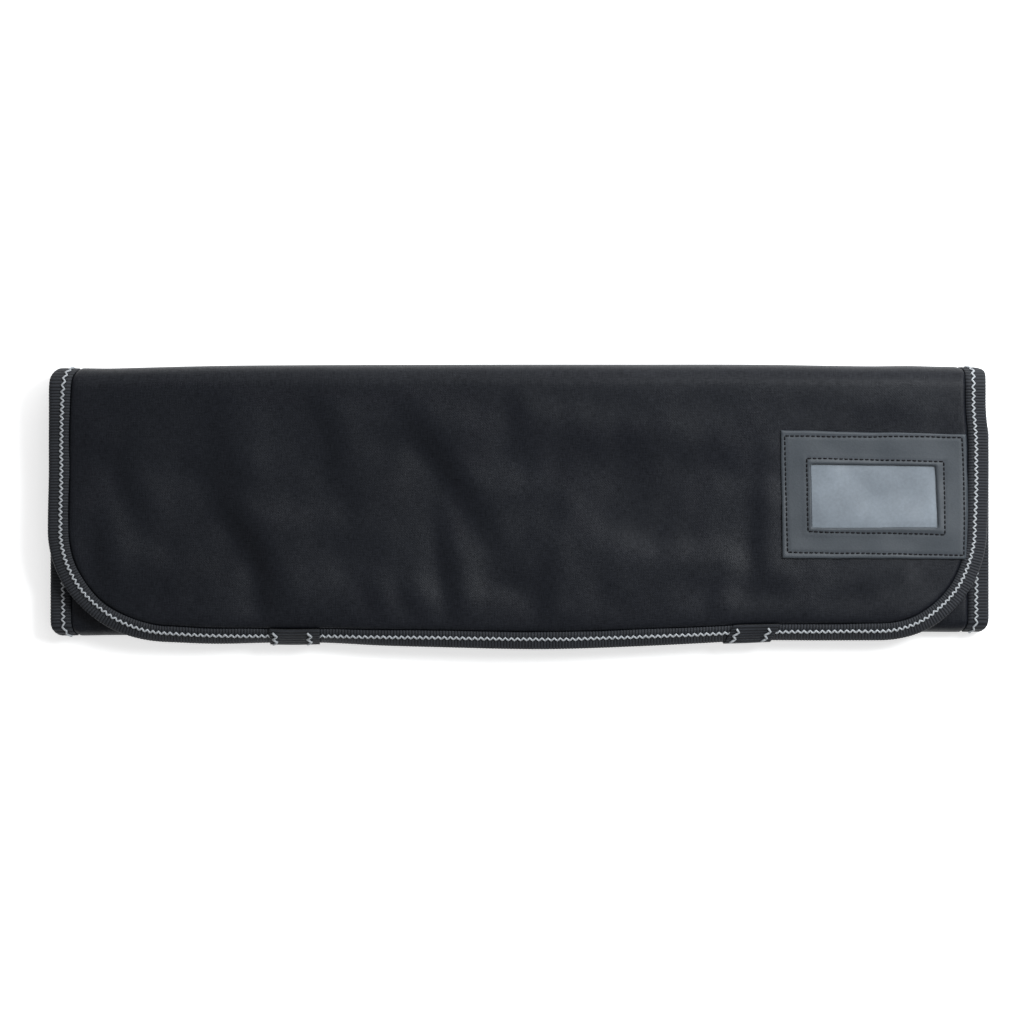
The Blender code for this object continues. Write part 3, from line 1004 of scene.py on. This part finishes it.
@dataclass(frozen=True)
class TapeFinish(Finish):
    """Ribbed tape: the ribs themselves are modelled, and this adds the fine yarn that wraps them and painted
    shade in the grooves between them.
    """

    rib: float = 0.00158
    yarn: float = 0.00036
    groove_painted_shade: float = 0.2

    def material(self) -> bpy.types.Material:
        """Builds the material."""
        material, sheet, shader = self.start()
        place = sheet.add("ShaderNodeUVMap", uv_map=FLAT_UV).outputs["UV"]
        split = sheet.add("ShaderNodeSeparateXYZ", {"Vector": place})
        ribs = sheet.maths("MULTIPLY", split.outputs["X"], math.pi / self.rib)
        crown = sheet.maths("ABSOLUTE", sheet.maths("SINE", ribs))
        yarns = sheet.maths("SINE", sheet.maths("MULTIPLY", split.outputs["Y"], 2 * math.pi / self.yarn))
        mottle = place_group(sheet, "mottle", {"Place": place, "Size": 0.012, "Strength": 0.45})
        # Painted shade: the colour is darkest in the grooves between the ribs and lightest on their crowns.
        grooves = sheet.maths(
            "ADD", sheet.maths("MULTIPLY", crown, 1.3 - self.groove_painted_shade), self.groove_painted_shade
        )
        self.shaded(sheet, shader, sheet.maths("MULTIPLY", grooves, mottle.outputs["Shade"]))
        height = sheet.maths("ADD", crown, sheet.maths("MULTIPLY", yarns, 0.2))
        self.bumped(sheet, shader, height, 0.00015, 0.7)
        return material


@dataclass(frozen=True)
class ThreadFinish(Finish):
    """Twisted sewing thread, with painted shade: darker in the hollows between its plies."""

    twist: float = 0.0009

    def material(self) -> bpy.types.Material:
        """Builds the material."""
        material, sheet, shader = self.start()
        place = sheet.add("ShaderNodeTexCoord").outputs["Object"]
        plies = sheet.noise(place, 1.0 / self.twist, 1.0)
        # Painted shade: the colour follows the plies' height, darker in the hollows between them.
        self.shaded(sheet, shader, sheet.maths("ADD", sheet.maths("MULTIPLY", plies, 0.5), 0.75))
        self.bumped(sheet, shader, plies, 0.0002, 0.8)
        return material


@dataclass(frozen=True)
class LeatheretteFinish(Finish):
    """Smooth coated cloth with a fine grain and soft random patches, with painted shade darkening the creases
    between the pebbles.
    """

    pebble: float = 0.0008
    grain_depth: float = 0.00006

    def material(self) -> bpy.types.Material:
        """Builds the material."""
        material, sheet, shader = self.start()
        place = sheet.add("ShaderNodeUVMap", uv_map=FLAT_UV).outputs["UV"]
        grain = place_group(sheet, "grain", {"Place": place, "Pebble": self.pebble})
        mottle = place_group(sheet, "mottle", {"Place": place, "Size": 0.03, "Strength": 0.22})
        # Painted shade: the colour is darkened in the creases between the pebbles.
        creases = sheet.maths("SUBTRACT", 1.08, sheet.maths("MULTIPLY", grain.outputs["Crease"], 0.2))
        self.shaded(sheet, shader, sheet.maths("MULTIPLY", creases, mottle.outputs["Shade"]))
        self.bumped(sheet, shader, grain.outputs["Height"], self.grain_depth, 0.5)
        return material


@dataclass(frozen=True)
class VinylFinish(Finish):
    """Clear film that has gone cloudy: milky in soft patches, with a hard gloss."""

    haze: float = 0.86

    def material(self) -> bpy.types.Material:
        """Builds the material."""
        material, sheet, shader = self.start()
        place = sheet.add("ShaderNodeUVMap", uv_map=FLAT_UV).outputs["UV"]
        mottle = place_group(sheet, "mottle", {"Place": place, "Size": 0.022, "Strength": 0.3})
        shade = mottle.outputs["Shade"]
        self.shaded(sheet, shader, shade)
        sheet.put(shader, "Alpha", sheet.maths("MINIMUM", sheet.maths("MULTIPLY", shade, self.haze), 1.0))
        dull = sheet.noise(place, 60.0, 4.0)
        rough = sheet.maths("ADD", sheet.maths("MULTIPLY", dull, 0.22), self.roughness)
        sheet.put(shader, "Roughness", rough)
        self.bumped(sheet, shader, sheet.noise(place, 90.0, 2.0), 0.0004, 0.25)
        return material


BLACK_CLOTH = ClothFinish("black_cloth", (0.0072, 0.0084, 0.0118), 0.4, specular=0.16)
BLACK_TAPE = TapeFinish("ribbed_black_tape", (0.0205, 0.0225, 0.027), 0.5, specular=0.17)
PALE_THREAD = ThreadFinish("pale_thread", (0.36, 0.38, 0.40), 0.4)
DARK_THREAD = ThreadFinish("dark_thread", (0.005, 0.005, 0.007), 0.7, specular=0.2)
GREY_LEATHERETTE = LeatheretteFinish("grey_leatherette", (0.0425, 0.0505, 0.0595), 0.5, specular=0.36)
CLOUDY_VINYL = VinylFinish("cloudy_vinyl", (0.187, 0.216, 0.247), 0.22)


@dataclass
class FlapSettling:
    """A cloth simulation of the flap, whose cloth is a little slack between tape, fold and card holder.

    The panel below carries the flap, so the even part of the sag is taken out and only the soft waves
    stay. slack is the share that the cloth is too large by, limit is the most that a wave rises, and
    even_over and fine_over are the distances over which the sag and the grid's own steps are evened out.
    """

    sheet: FoldedSheet
    columns: int = 121
    rows: int = 34
    slack: float = 0.008
    frames: int = 26
    limit: float = 0.0005
    even_over: float = 0.026
    fine_over: float = 0.0035
    hold_fade: float = 0.012
    holder_middle: tuple[float, float] = (0.1832, 0.0770)
    holder_half: tuple[float, float] = (0.046, 0.032)

    def hold(self, x: np.ndarray, run: np.ndarray) -> np.ndarray:
        """How firmly each place is held: 1 under the tape, at the fold and under the card holder."""
        sheet = self.sheet
        edge = np.minimum(sheet.inset(x, run), sheet.flap_run - run)
        radius = sheet.corner_at(x)
        over = np.clip(np.abs(x) - (sheet.half_width - radius), 0.0, None)
        short = np.clip(radius - run, 0.0, None)
        corner = radius - np.hypot(over, short)
        edge = np.where((over > 0) & (short > 0), np.minimum(edge, corner), edge)
        beside = np.maximum(
            np.abs(x - self.holder_middle[0]) - self.holder_half[0],
            np.abs(run - self.holder_middle[1]) - self.holder_half[1],
        )
        free = np.minimum(edge - sheet.tape_face, beside)
        return 1 - eased(free / self.hold_fade)

    def settle(self) -> Settled:
        """Runs the simulation and reads off how far the cloth has moved.

        Returns:
            The heights to add to the flap.
        """
        sheet = self.sheet
        xs = np.linspace(-sheet.half_width, sheet.half_width, self.columns)
        runs = np.linspace(0.0, sheet.flap_run, self.rows)
        mesh, column, row = grid_mesh("flap_cloth", self.columns, self.rows)
        x, run = xs[column], runs[row]
        hold = self.hold(x, run)
        start = sheet.middle(x, run)
        move_points(mesh, start)
        cloth = put_in_scene("flap_cloth", mesh)
        pins = cloth.vertex_groups.new(name="held")
        for index, weight in enumerate(hold):
            pins.add([index], float(weight), "REPLACE")
        self.add_cloth(cloth)
        scene = bpy.context.scene
        for frame_number in range(1, self.frames + 1):
            scene.frame_set(frame_number)
        seen = cloth.evaluated_get(bpy.context.evaluated_depsgraph_get())
        moved = points_of(seen.data)[:, 2] - start[:, 2]
        scene.frame_set(1)
        bpy.data.objects.remove(cloth)
        heights = np.zeros((self.columns, self.rows))
        loose = np.zeros((self.columns, self.rows))
        heights[column, row] = moved
        loose[column, row] = 1 - hold
        step = (xs[1] - xs[0], runs[1] - runs[0])
        heights -= self.evened(heights * loose, step, self.even_over) / (
            self.evened(loose, step, self.even_over) + MERGE
        )
        waves = self.limit * np.tanh(heights / self.limit) * loose
        heights = self.evened(waves, step, self.fine_over)
        LOG.info("flap settled by %.2f to %.2f mm", 1000 * heights.min(), 1000 * heights.max())
        return Settled((xs[0], runs[0]), step, heights)

    @staticmethod
    def evened(values: np.ndarray, step: tuple[float, float], over: float) -> np.ndarray:
        """Evens values out.

        Args:
            values: Values on the grid.
            step: How far apart its lines lie each way.
            over: The distance to even them out over.

        Returns:
            The evened values.
        """
        for axis in (0, 1):
            reach = int(3 * over / step[axis]) + 1
            offsets = np.arange(-reach, reach + 1)
            weights = np.exp(-((offsets * step[axis] / over) ** 2) / 2)
            weights /= weights.sum()
            full = np.apply_along_axis(np.convolve, axis, values, weights)
            values = np.take(full, np.arange(reach, reach + values.shape[axis]), axis)
        return values

    def add_cloth(self, cloth: bpy.types.Object) -> None:
        """Gives the grid the cloth's own settings."""
        modifier = cloth.modifiers.new("cloth", "CLOTH")
        settings = modifier.settings
        settings.quality = 6
        settings.mass = 0.2
        settings.tension_stiffness = 25.0
        settings.compression_stiffness = 25.0
        settings.shear_stiffness = 15.0
        settings.bending_stiffness = 6.0
        settings.tension_damping = 20.0
        settings.compression_damping = 20.0
        settings.bending_damping = 2.0
        settings.air_damping = 4.0
        settings.pin_stiffness = 5.0
        settings.vertex_group_mass = "held"
        settings.shrink_min = -self.slack
        settings.effector_weights.gravity = 0.004
        modifier.collision_settings.use_collision = False
        modifier.point_cache.frame_start = 1
        modifier.point_cache.frame_end = self.frames


@dataclass
class PaddedCover:
    """The padded cloth sheet, folded in three."""

    sheet: FoldedSheet
    step: float = 0.003
    fold_step: float = 0.0015
    panel_step: float = 0.006

    def edge_lines(self, radius: float) -> list[float]:
        """How far in from an edge the lines of vertices lie: close by the tape, then even."""
        lap = self.sheet.tape_lap
        lines = [0.0] + spaced(0.0, lap - 0.001, self.step)
        lines += [lap + beyond for beyond in (0.0, 0.0001, 0.0002, 0.0005, 0.001, 0.0016, 0.0027, 0.004)]
        return lines + spaced(lines[-1], radius, self.step)

    def lines(self) -> tuple[np.ndarray, np.ndarray]:
        """The x and the run of the lines of vertices."""
        sheet = self.sheet
        right = [sheet.half_width - inset for inset in self.edge_lines(sheet.flap_corners[0])]
        left = [-x for x in right]
        across = left + spaced(left[-1], right[-1], self.step)[:-1] + right[::-1]
        along = self.edge_lines(sheet.flap_corners[0])
        along += spaced(along[-1], sheet.flap_run, self.step)
        along += spaced(sheet.flap_run, sheet.back_start, self.fold_step)
        along += spaced(sheet.back_start, sheet.back_end, self.panel_step)
        along += spaced(sheet.back_end, sheet.inner_start, self.fold_step)
        inner = [sheet.length - inset for inset in self.edge_lines(sheet.inner_corner)]
        along += spaced(sheet.inner_start, inner[-1], self.panel_step)[:-1] + inner[::-1]
        return np.array(across), np.array(along)

    def build(self) -> bpy.types.Object:
        """Makes the sheet flat, gives it its two faces and folds it up."""
        sheet = self.sheet
        across, along = self.lines()
        grid = bmesh.new()
        bmesh.ops.create_grid(grid, x_segments=len(across) - 1, y_segments=len(along) - 1, size=0.5)
        mesh, place, upper = two_faced("cover_cloth", grid)
        x = across[np.rint((place[:, 0] + 0.5) * (len(across) - 1)).astype(int)]
        run = along[np.rint((place[:, 1] + 0.5) * (len(along) - 1)).astype(int)]
        face = np.where(upper, 1.0, -1.0)
        height = face * sheet.face_height(sheet.inset(x, run))
        x, run = sheet.rounded(x, run)
        move_points(mesh, sheet.folded(x, run, height))
        lay_flat_map(mesh, x, run)
        close_up(mesh)
        piece = add_piece("cover_cloth", mesh, BLACK_CLOTH.material())
        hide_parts("cover")
        return piece


@dataclass
class EdgeBinding:
    """The ribbed tape that is folded over the sheet's edge and sewn through with a zigzag."""

    sheet: FoldedSheet
    rib: float = 0.00158
    rib_height: float = 0.00016
    lines_per_rib: int = 4
    sway: float = 0.00025
    stitch_inset: float = 0.0054
    stitch_swing: float = 0.0008
    stitch_pitch: float = 0.00315
    thread_radius: float = 0.0005

    def section(self) -> list[tuple[float, float, float]]:
        """The tape cut across, from the lap on one face round to the lap on the other.

        Returns:
            Rows of inset, height, and how much the ribs show there.
        """
        sheet = self.sheet
        inside = sheet.edge_thickness / 2 + sheet.tape_gap
        outside = inside + sheet.tape_thickness
        lap, reach = sheet.tape_lap, sheet.tape_reach
        upper = [(lap, inside + 0.4 * sheet.tape_thickness, 0.0), (lap - 0.0002, outside, 0.5)]
        upper += [(lap * share, outside, 1.0) for share in (0.75, 0.5, 0.25, 0.06)]
        upper += [(-reach * math.sin(turn), outside * math.cos(turn) ** 0.7, 1.0) for turn in (0.5, 1.0)]
        upper += [(-reach, 0.12 * outside, 1.0)]
        lower = [(inset, -height, ribs) for inset, height, ribs in upper[::-1]]
        lining = [(lap, -inside, 0.0), (-sheet.tape_gap, -inside, 0.0)]
        lining += [(-sheet.tape_gap, inside, 0.0), (lap, inside, 0.0)]
        return upper + lower + lining

    def build(self) -> bpy.types.Object:
        """Makes the tape, once round the sheet."""
        sheet = self.sheet
        length = sheet.outline_length()
        ribs = round(length / self.rib)
        stations = ribs * self.lines_per_rib
        section = np.array(self.section())
        mesh, column, row = grid_mesh("binding_tape", stations + 1, len(section) + 1)
        rib_place = column / self.lines_per_rib * self.rib
        distance = column / stations * length
        inset, height, shows = section[row % len(section)].T
        rise = rib_rise(np.pi * rib_place / self.rib, self.rib_height) * shows
        sway = self.sway * ripple(distance, np.sign(height) * 0.3, 0.03, 0.7)
        sway = sway * eased(inset / sheet.tape_lap)
        height = height + np.sign(height) * rise * np.where(inset > -0.0004, 1.0, 0.4)
        inset = inset + sway - rise * (inset < -0.0004)
        move_points(mesh, sheet.beside_edge(distance % length, inset, height))
        lay_flat_map(mesh, rib_place, inset + 0.03 * (height < 0))
        close_up(mesh)
        piece = add_piece("binding_tape", mesh, BLACK_TAPE.material())
        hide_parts("edge_binding")
        return piece

    def sew(self, side: Side) -> bpy.types.Object:
        """Makes the zigzag on one face of the tape."""
        sheet = self.sheet
        length = sheet.outline_length()
        pitches = round(length / self.stitch_pitch)
        per_pitch = 6
        count = pitches * per_pitch
        distance = np.arange(count) / count * length
        swing = zigzag(count, per_pitch)
        uneven = 0.12 * ripple(distance, np.zeros(count), 0.021, 3.1)
        inset = self.stitch_inset + self.stitch_swing * (swing + uneven)
        tape_top = sheet.edge_thickness / 2 + sheet.tape_gap + sheet.tape_thickness + self.rib_height
        lift = self.thread_radius * (0.75 - 0.55 * np.abs(swing) ** 3)
        height = side.value * (tape_top + lift)
        path = sheet.beside_edge(distance, inset, height)
        path[:, 2] = np.maximum(path[:, 2], 0.9 * self.thread_radius)
        mesh = thread_mesh(f"zigzag_{side.name.lower()}", [path], self.thread_radius, closed=True)
        return add_piece(f"zigzag_{side.name.lower()}", mesh, PALE_THREAD.material())


@dataclass
class HemTab:
    """A short piece of the tape wrapped round the hem, tacked down at its sides."""

    sheet: FoldedSheet
    name: str
    node: str
    centre: float
    lean: float
    tack_insets: tuple[float, float] = (0.0027, 0.0052)
    width: float = 0.0258
    face: float = 0.0122
    rib: float = 0.00158
    rib_height: float = 0.00016
    tack_swing: float = 0.0011
    tack_pitch: float = 0.0042
    tack_end: float = 0.0006
    steps_per_pitch: int = 6
    gap: float = 0.0002
    columns: int = 25
    rows: int = 96
    thread_radius: float = 0.00058

    def path(self, steps: int) -> np.ndarray:
        """The wrap's outer face, from its upper end round the hem to its lower end.

        Args:
            steps: How many rows to give.

        Returns:
            Rows of inset, height, the outward direction's two parts and the distance along the tab.
        """
        sheet = self.sheet
        inside = sheet.edge_thickness / 2 + sheet.tape_gap + sheet.tape_thickness + self.gap
        outside = inside + sheet.tape_thickness
        straight = self.face - 2 * sheet.tape_reach
        turn_length = math.pi * outside
        at = np.linspace(0.0, 2 * straight + turn_length, steps)
        turn = np.clip((at - straight) / turn_length, 0, 1) * math.pi
        past = at - straight
        inset = np.where(past < 0, -past, np.where(past > turn_length, past - turn_length, 0.0))
        out_inset, out_height = -np.sin(turn), np.cos(turn)
        across = self.gap + inset + 0.75 * outside * out_inset
        return np.stack([across, outside * out_height, out_inset, out_height, at], axis=1)

    def on_sheet(self, u: np.ndarray, inset: np.ndarray, height: np.ndarray) -> np.ndarray:
        """Folds up points at u along the hem from the tab's middle, leaning as the tab does."""
        x = self.centre + u + self.lean * inset
        return self.sheet.folded(x, inset, height)

    def build(self) -> bpy.types.Object:
        """Makes the tab with its ribs along the hem."""
        sheet = self.sheet
        columns, rows = self.columns, self.rows
        path = self.path(rows)
        total = path[-1, 4]
        ribs = round(total / self.rib)
        mesh, column, row = grid_mesh(self.name, columns, 2 * rows + 1)
        row = row % (2 * rows)
        outer = row < rows
        at = np.where(outer, row, 2 * rows - 1 - row)
        inset, height, out_inset, out_height, along = path[at].T
        rise = rib_rise(np.pi * along / total * ribs, self.rib_height)
        depth = np.where(outer, rise, -0.7 * sheet.tape_thickness)
        u = (column / (columns - 1) - 0.5) * self.width
        puff = 0.0003 * np.cos(np.pi * u / self.width) * outer
        inset = inset + (depth + puff) * out_inset
        height = height + (depth + puff) * out_height
        move_points(mesh, self.on_sheet(u, inset, height))
        lay_flat_map(mesh, along / total * ribs * self.rib, u)
        close_up(mesh, fill_ends=True)
        piece = add_piece(self.name, mesh, BLACK_TAPE.material())
        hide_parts(self.node)
        return piece

    def sew(self) -> bpy.types.Object:
        """Makes the zigzag tacks down both sides, on both faces."""
        sheet = self.sheet
        strands = []
        tapes = sheet.tape_gap + 2 * sheet.tape_thickness + self.gap
        top = sheet.edge_thickness / 2 + tapes + self.rib_height
        end = self.face - 3 * sheet.tape_reach - self.tack_end
        for side in Side:
            for hand, tack_inset in zip((-1, 1), self.tack_insets):
                count = round((end + self.gap) / self.tack_pitch * self.steps_per_pitch) + 1
                inset = np.linspace(end, -self.gap, count)
                swing = zigzag(count, self.steps_per_pitch)
                u = hand * (self.width / 2 - tack_inset) + self.tack_swing * swing
                lift = self.thread_radius * (0.9 - 0.5 * np.abs(swing) ** 3)
                strands.append(self.on_sheet(u, inset, side.value * (top + lift)))
        mesh = thread_mesh(f"{self.name}_tacks", strands, self.thread_radius, closed=False)
        return add_piece(f"{self.name}_tacks", mesh, PALE_THREAD.material())


@dataclass
class CardHolder:
    """The leatherette frame sewn on the flap, with a cloudy pane behind its opening.

    Corners are offsets from the middle of the holder on the flat flap, from the top left round to the bottom
    left, because the frame and its opening were cut and sewn a little out of square.
    """

    sheet: FoldedSheet
    x: float = 0.1832
    run: float = 0.0763
    thickness: float = 0.0011
    pane_thickness: float = 0.0004
    pane_lap: float = 0.004
    frame_corners: tuple = ((-0.0479, 0.0345), (0.0474, 0.0333), (0.0494, -0.0341), (-0.0471, -0.0337))
    window_corners: tuple = ((-0.0322, 0.0167), (0.0314, 0.0159), (0.0333, -0.0171), (-0.0314, -0.0171))
    outer_stitch_corners: tuple = ((-0.0460, 0.0316), (0.0451, 0.0316), (0.0473, -0.0320), (-0.0443, -0.0304))
    inner_stitch_corners: tuple = ((-0.0345, 0.0200), (0.0357, 0.0184), (0.0369, -0.0208), (-0.0337, -0.0192))
    stitch_pitch: float = 0.0027
    stitch_length: float = 0.0019
    thread_radius: float = 0.0004
    groove_width: float = 0.0009
    groove_depth: float = 0.00025
    step: float = 0.0008

    @staticmethod
    def in_corners(corners: Sequence[tuple[float, float]], u: np.ndarray, v: np.ndarray) -> np.ndarray:
        """Places between four corners.

        Args:
            corners: The corners, from the top left round to the bottom left.
            u: Shares from left to right.
            v: Shares from bottom to top.

        Returns:
            A row for each place.
        """
        top_left, top_right, low_right, low_left = np.array(corners)
        u, v = u[:, None], v[:, None]
        top = top_left + u * (top_right - top_left)
        low = low_left + u * (low_right - low_left)
        return low + v * (top - low)

    @staticmethod
    def beside(corners: Sequence[tuple[float, float]], points: np.ndarray) -> np.ndarray:
        """How far points lie inside a four-cornered outline; less than 0 outside."""
        ring = np.array(corners)
        nearest = np.full(len(points), np.inf)
        for start, end in zip(ring, np.roll(ring, -1, axis=0)):
            along = (end - start) / np.linalg.norm(end - start)
            offset = points - start
            nearest = np.minimum(nearest, offset[:, 1] * -along[0] + offset[:, 0] * along[1])
        return nearest

    def cloth_top(self, x: np.ndarray, run: np.ndarray) -> np.ndarray:
        """The height of the cloth's face under the holder."""
        return self.sheet.face_height(self.sheet.inset(x, run))

    def frame_top(self, points: np.ndarray) -> np.ndarray:
        """The height of the frame's face over the cloth: round edges, and pressed in along its stitches."""
        rim = self.beside(self.frame_corners, points)
        lip = -self.beside(self.window_corners, points)
        edge = np.clip(np.minimum(rim, lip) / 0.0008, 0, 1)
        height = 0.00015 + self.thickness * (0.55 + 0.45 * np.sqrt(1 - (1 - edge) ** 2))
        height += 0.00045 * eased(1 - lip / 0.006)
        for corners in (self.outer_stitch_corners, self.inner_stitch_corners):
            off = np.abs(self.beside(corners, points)) / self.groove_width
            height -= self.groove_depth * np.exp(-off * off)
        return height + 0.00012 * ripple(points[:, 0], points[:, 1], 0.024, 4.2)

    def build_frame(self) -> bpy.types.Object:
        """Makes the frame: a grid with its opening cut out, thickened and laid on the cloth."""
        width = self.frame_corners[1][0] - self.frame_corners[0][0]
        depth = self.frame_corners[0][1] - self.frame_corners[3][1]
        opening = np.array(self.window_corners)
        columns = self.lines_between(opening[:, 0], width)
        rows = self.lines_between(opening[:, 1], depth)
        grid = bmesh.new()
        bmesh.ops.create_grid(grid, x_segments=len(columns) - 1, y_segments=len(rows) - 1, size=0.5)
        for vertex in grid.verts:
            column = round((vertex.co.x + 0.5) * (len(columns) - 1))
            row = round((vertex.co.y + 0.5) * (len(rows) - 1))
            vertex.co.x, vertex.co.y = columns[column], rows[row]
        cut = [face for face in grid.faces if max(map(abs, face.calc_center_median().xy)) < 1]
        bmesh.ops.delete(grid, geom=cut, context="FACES")
        mesh, place, upper = two_faced("holder_frame", grid)
        points = self.between_rings(place[:, 0], place[:, 1])
        x, run = self.x + points[:, 0], self.run + points[:, 1]
        lip = -self.beside(self.window_corners, points)
        under = 0.00012 + (self.pane_thickness + 0.00018) * eased((0.0085 - lip) / 0.003)
        top = np.maximum(self.frame_top(points), under + 0.0003)
        height = self.cloth_top(x, run) + np.where(upper, top, under)
        move_points(mesh, self.sheet.folded(x, run, height))
        lay_flat_map(mesh, points[:, 0], points[:, 1])
        close_up(mesh)
        piece = add_piece("holder_frame", mesh, GREY_LEATHERETTE.material())
        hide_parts("id_frame")
        return piece

    def lines_between(self, opening: np.ndarray, size: float) -> list[float]:
        """Grid lines as shares: -2 and 2 at the rim, -1 and 1 at the opening's edges.

        Args:
            opening: Where the opening's corners lie, along or across.
            size: The frame's size that way.

        Returns:
            The lines, in rising order.
        """
        border = (size - (opening.max() - opening.min())) / 2
        half = spaced(0.0, 1.0, self.step / border)
        low = [-2.0] + [-2.0 + share for share in half]
        middle = spaced(-1.0, 1.0, 2 * self.step * 2 / (size - 2 * border))
        return low + middle + [1.0 + share for share in half]

    def between_rings(self, u: np.ndarray, v: np.ndarray) -> np.ndarray:
        """Places for the frame's grid, on the opening's outline at 1 and on the rim at 2.

        Args:
            u: Shares from left to right.
            v: Shares from bottom to top.

        Returns:
            A row for each place, from the middle of the holder.
        """
        share_u, share_v = (np.clip(u, -1, 1) + 1) / 2, (np.clip(v, -1, 1) + 1) / 2
        inner = self.in_corners(self.window_corners, share_u, share_v)
        rim = self.in_corners(self.frame_corners, share_u, share_v)
        wide = np.clip(np.abs(np.stack([u, v], axis=1)) - 1, 0, 1)
        return inner + wide * (rim - inner)

    def build_pane(self) -> bpy.types.Object:
        """Makes the pane, a slightly wavy film that reaches under the frame."""
        lap = self.pane_lap
        grow = np.array([(-lap, lap), (lap, lap), (lap, -lap), (-lap, -lap)])
        corners = np.array(self.window_corners) + grow
        columns, rows = 61, 37
        grid = bmesh.new()
        bmesh.ops.create_grid(grid, x_segments=columns - 1, y_segments=rows - 1, size=0.5)
        mesh, place, upper = two_faced("holder_window", grid)
        points = self.in_corners(corners, place[:, 0] + 0.5, place[:, 1] + 0.5)
        x, run = self.x + points[:, 0], self.run + points[:, 1]
        inside = eased(self.beside(self.window_corners, points) / 0.004)
        wave = 0.00012 * (1 + ripple(points[:, 0], points[:, 1], 0.03, 5.5)) * inside
        height = self.cloth_top(x, run) + 0.0001 + wave + self.pane_thickness * upper
        move_points(mesh, self.sheet.folded(x, run, height))
        lay_flat_map(mesh, points[:, 0], points[:, 1])
        close_up(mesh)
        piece = add_piece("holder_window", mesh, CLOUDY_VINYL.material())
        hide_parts("id_window")
        return piece

    def sew(self) -> bpy.types.Object:
        """Makes both rows of straight stitches, each stitch a short thread that dips in at its ends."""
        strands = []
        for corners in (self.outer_stitch_corners, self.inner_stitch_corners):
            ring = np.array(corners)
            for start, end in zip(ring, np.roll(ring, -1, axis=0)):
                length = np.linalg.norm(end - start)
                count = round(length / self.stitch_pitch)
                for i in range(count):
                    at = (i + 0.5) / count + np.linspace(-0.5, 0.5, 5) * self.stitch_length / length
                    points = start + at[:, None] * (end - start)
                    arch = np.array([-0.9, 0.35, 0.6, 0.35, -0.9]) * self.thread_radius
                    x, run = self.x + points[:, 0], self.run + points[:, 1]
                    height = self.cloth_top(x, run) + self.frame_top(points) + arch
                    strands.append(self.sheet.folded(x, run, height))
        mesh = thread_mesh("holder_stitches", strands, self.thread_radius, closed=False)
        return add_piece("holder_stitches", mesh, DARK_THREAD.material())


@dataclass
class Studio:
    """The pale floor, the soft lights and the camera straight above."""

    photo_centre: tuple[float, float] = (-0.0032, -0.0026)
    field: float = 0.5325
    camera_height: float = 2.5
    sensor: float = 36.0
    floor_size: float = 8.0
    floor_drop: float = 0.0002
    floor_glow: float = 0.55
    sky: float = 0.35

    def build_floor(self) -> None:
        """Lays the floor just under the roll: a white light table, as it is used for plain backgrounds."""
        grid = bmesh.new()
        bmesh.ops.create_grid(grid, x_segments=1, y_segments=1, size=self.floor_size / 2)
        bmesh.ops.translate(grid, verts=grid.verts, vec=(0, 0, -self.floor_drop))
        mesh = bpy.data.meshes.new("floor")
        grid.to_mesh(mesh)
        grid.free()
        material, _, shader = Finish("pale_floor", (0.93, 0.93, 0.93), 0.9, specular=0.0).start()
        shader.inputs["Emission Color"].default_value = (1.0, 1.0, 1.0, 1.0)
        shader.inputs["Emission Strength"].default_value = self.floor_glow
        mesh.materials.append(material)
        floor = put_in_scene("floor", mesh)

    def add_light(
        self, name: str, place: Sequence[float], size: float, power: float, tint: Sequence[float]
    ) -> None:
        """Hangs a square soft light that faces the roll.

        Args:
            name: The light's name.
            place: Where it hangs.
            size: The length of its side.
            power: Its power in watts.
            tint: Its colour.
        """
        light = bpy.data.lights.new(name, "AREA")
        light.shape = "SQUARE"
        light.size = size
        light.energy = power
        light.color = tint
        lamp = put_in_scene(name, light)
        lamp.location = place
        lamp.rotation_euler = (-Vector(place)).to_track_quat("-Z", "Y").to_euler()

    def build_lights(self) -> None:
        """A soft light at the upper right, a broad low one behind the top fold, and an even sky."""
        self.add_light("key", (0.6, 0.36, 0.8), 0.42, 10.5, (0.95, 0.98, 1.0))
        self.add_light("back", (0.3, 0.95, 0.6), 0.9, 6.0, (0.97, 0.98, 1.0))
        world = bpy.data.worlds.new("sky")
        world.use_nodes = True
        world.node_tree.nodes["Background"].inputs["Color"].default_value = (1.0, 1.0, 1.0, 1.0)
        world.node_tree.nodes["Background"].inputs["Strength"].default_value = self.sky
        bpy.context.scene.world = world
        bpy.context.scene.view_settings.view_transform = "Standard"

    def build_camera(self) -> None:
        """Stands the camera straight above the middle of the photo, with +X to the right."""
        lens = bpy.data.cameras.new("camera")
        lens.sensor_width = self.sensor
        lens.lens = self.sensor * self.camera_height / self.field
        camera = put_in_scene("camera", lens)
        camera.location = (*self.photo_centre, self.camera_height)
        bpy.context.scene.camera = camera

    def build(self) -> None:
        """Sets up the whole studio."""
        self.build_floor()
        self.build_lights()
        self.build_camera()


def main() -> None:
    """Builds the studio and the roll, piece by piece."""
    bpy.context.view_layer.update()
    Studio().build()
    sheet = FoldedSheet()
    sheet.settled = FlapSettling(sheet).settle()
    PaddedCover(sheet).build()
    binding = EdgeBinding(sheet)
    binding.build()
    for side in Side:
        binding.sew(side)
    for tab in (
        HemTab(sheet, "tab_left", "hem_tab_left", centre=-0.1155, lean=0.0),
        HemTab(sheet, "tab_right", "hem_tab_right", 0.1187, 0.42, (0.0036, 0.0041), 0.0241),
    ):
        tab.build()
        tab.sew()
    holder = CardHolder(sheet)
    holder.build_pane()
    holder.build_frame()
    holder.sew()


if __name__ == "__main__":
    logging.basicConfig(level=logging.INFO, format="%(message)s")
    main()
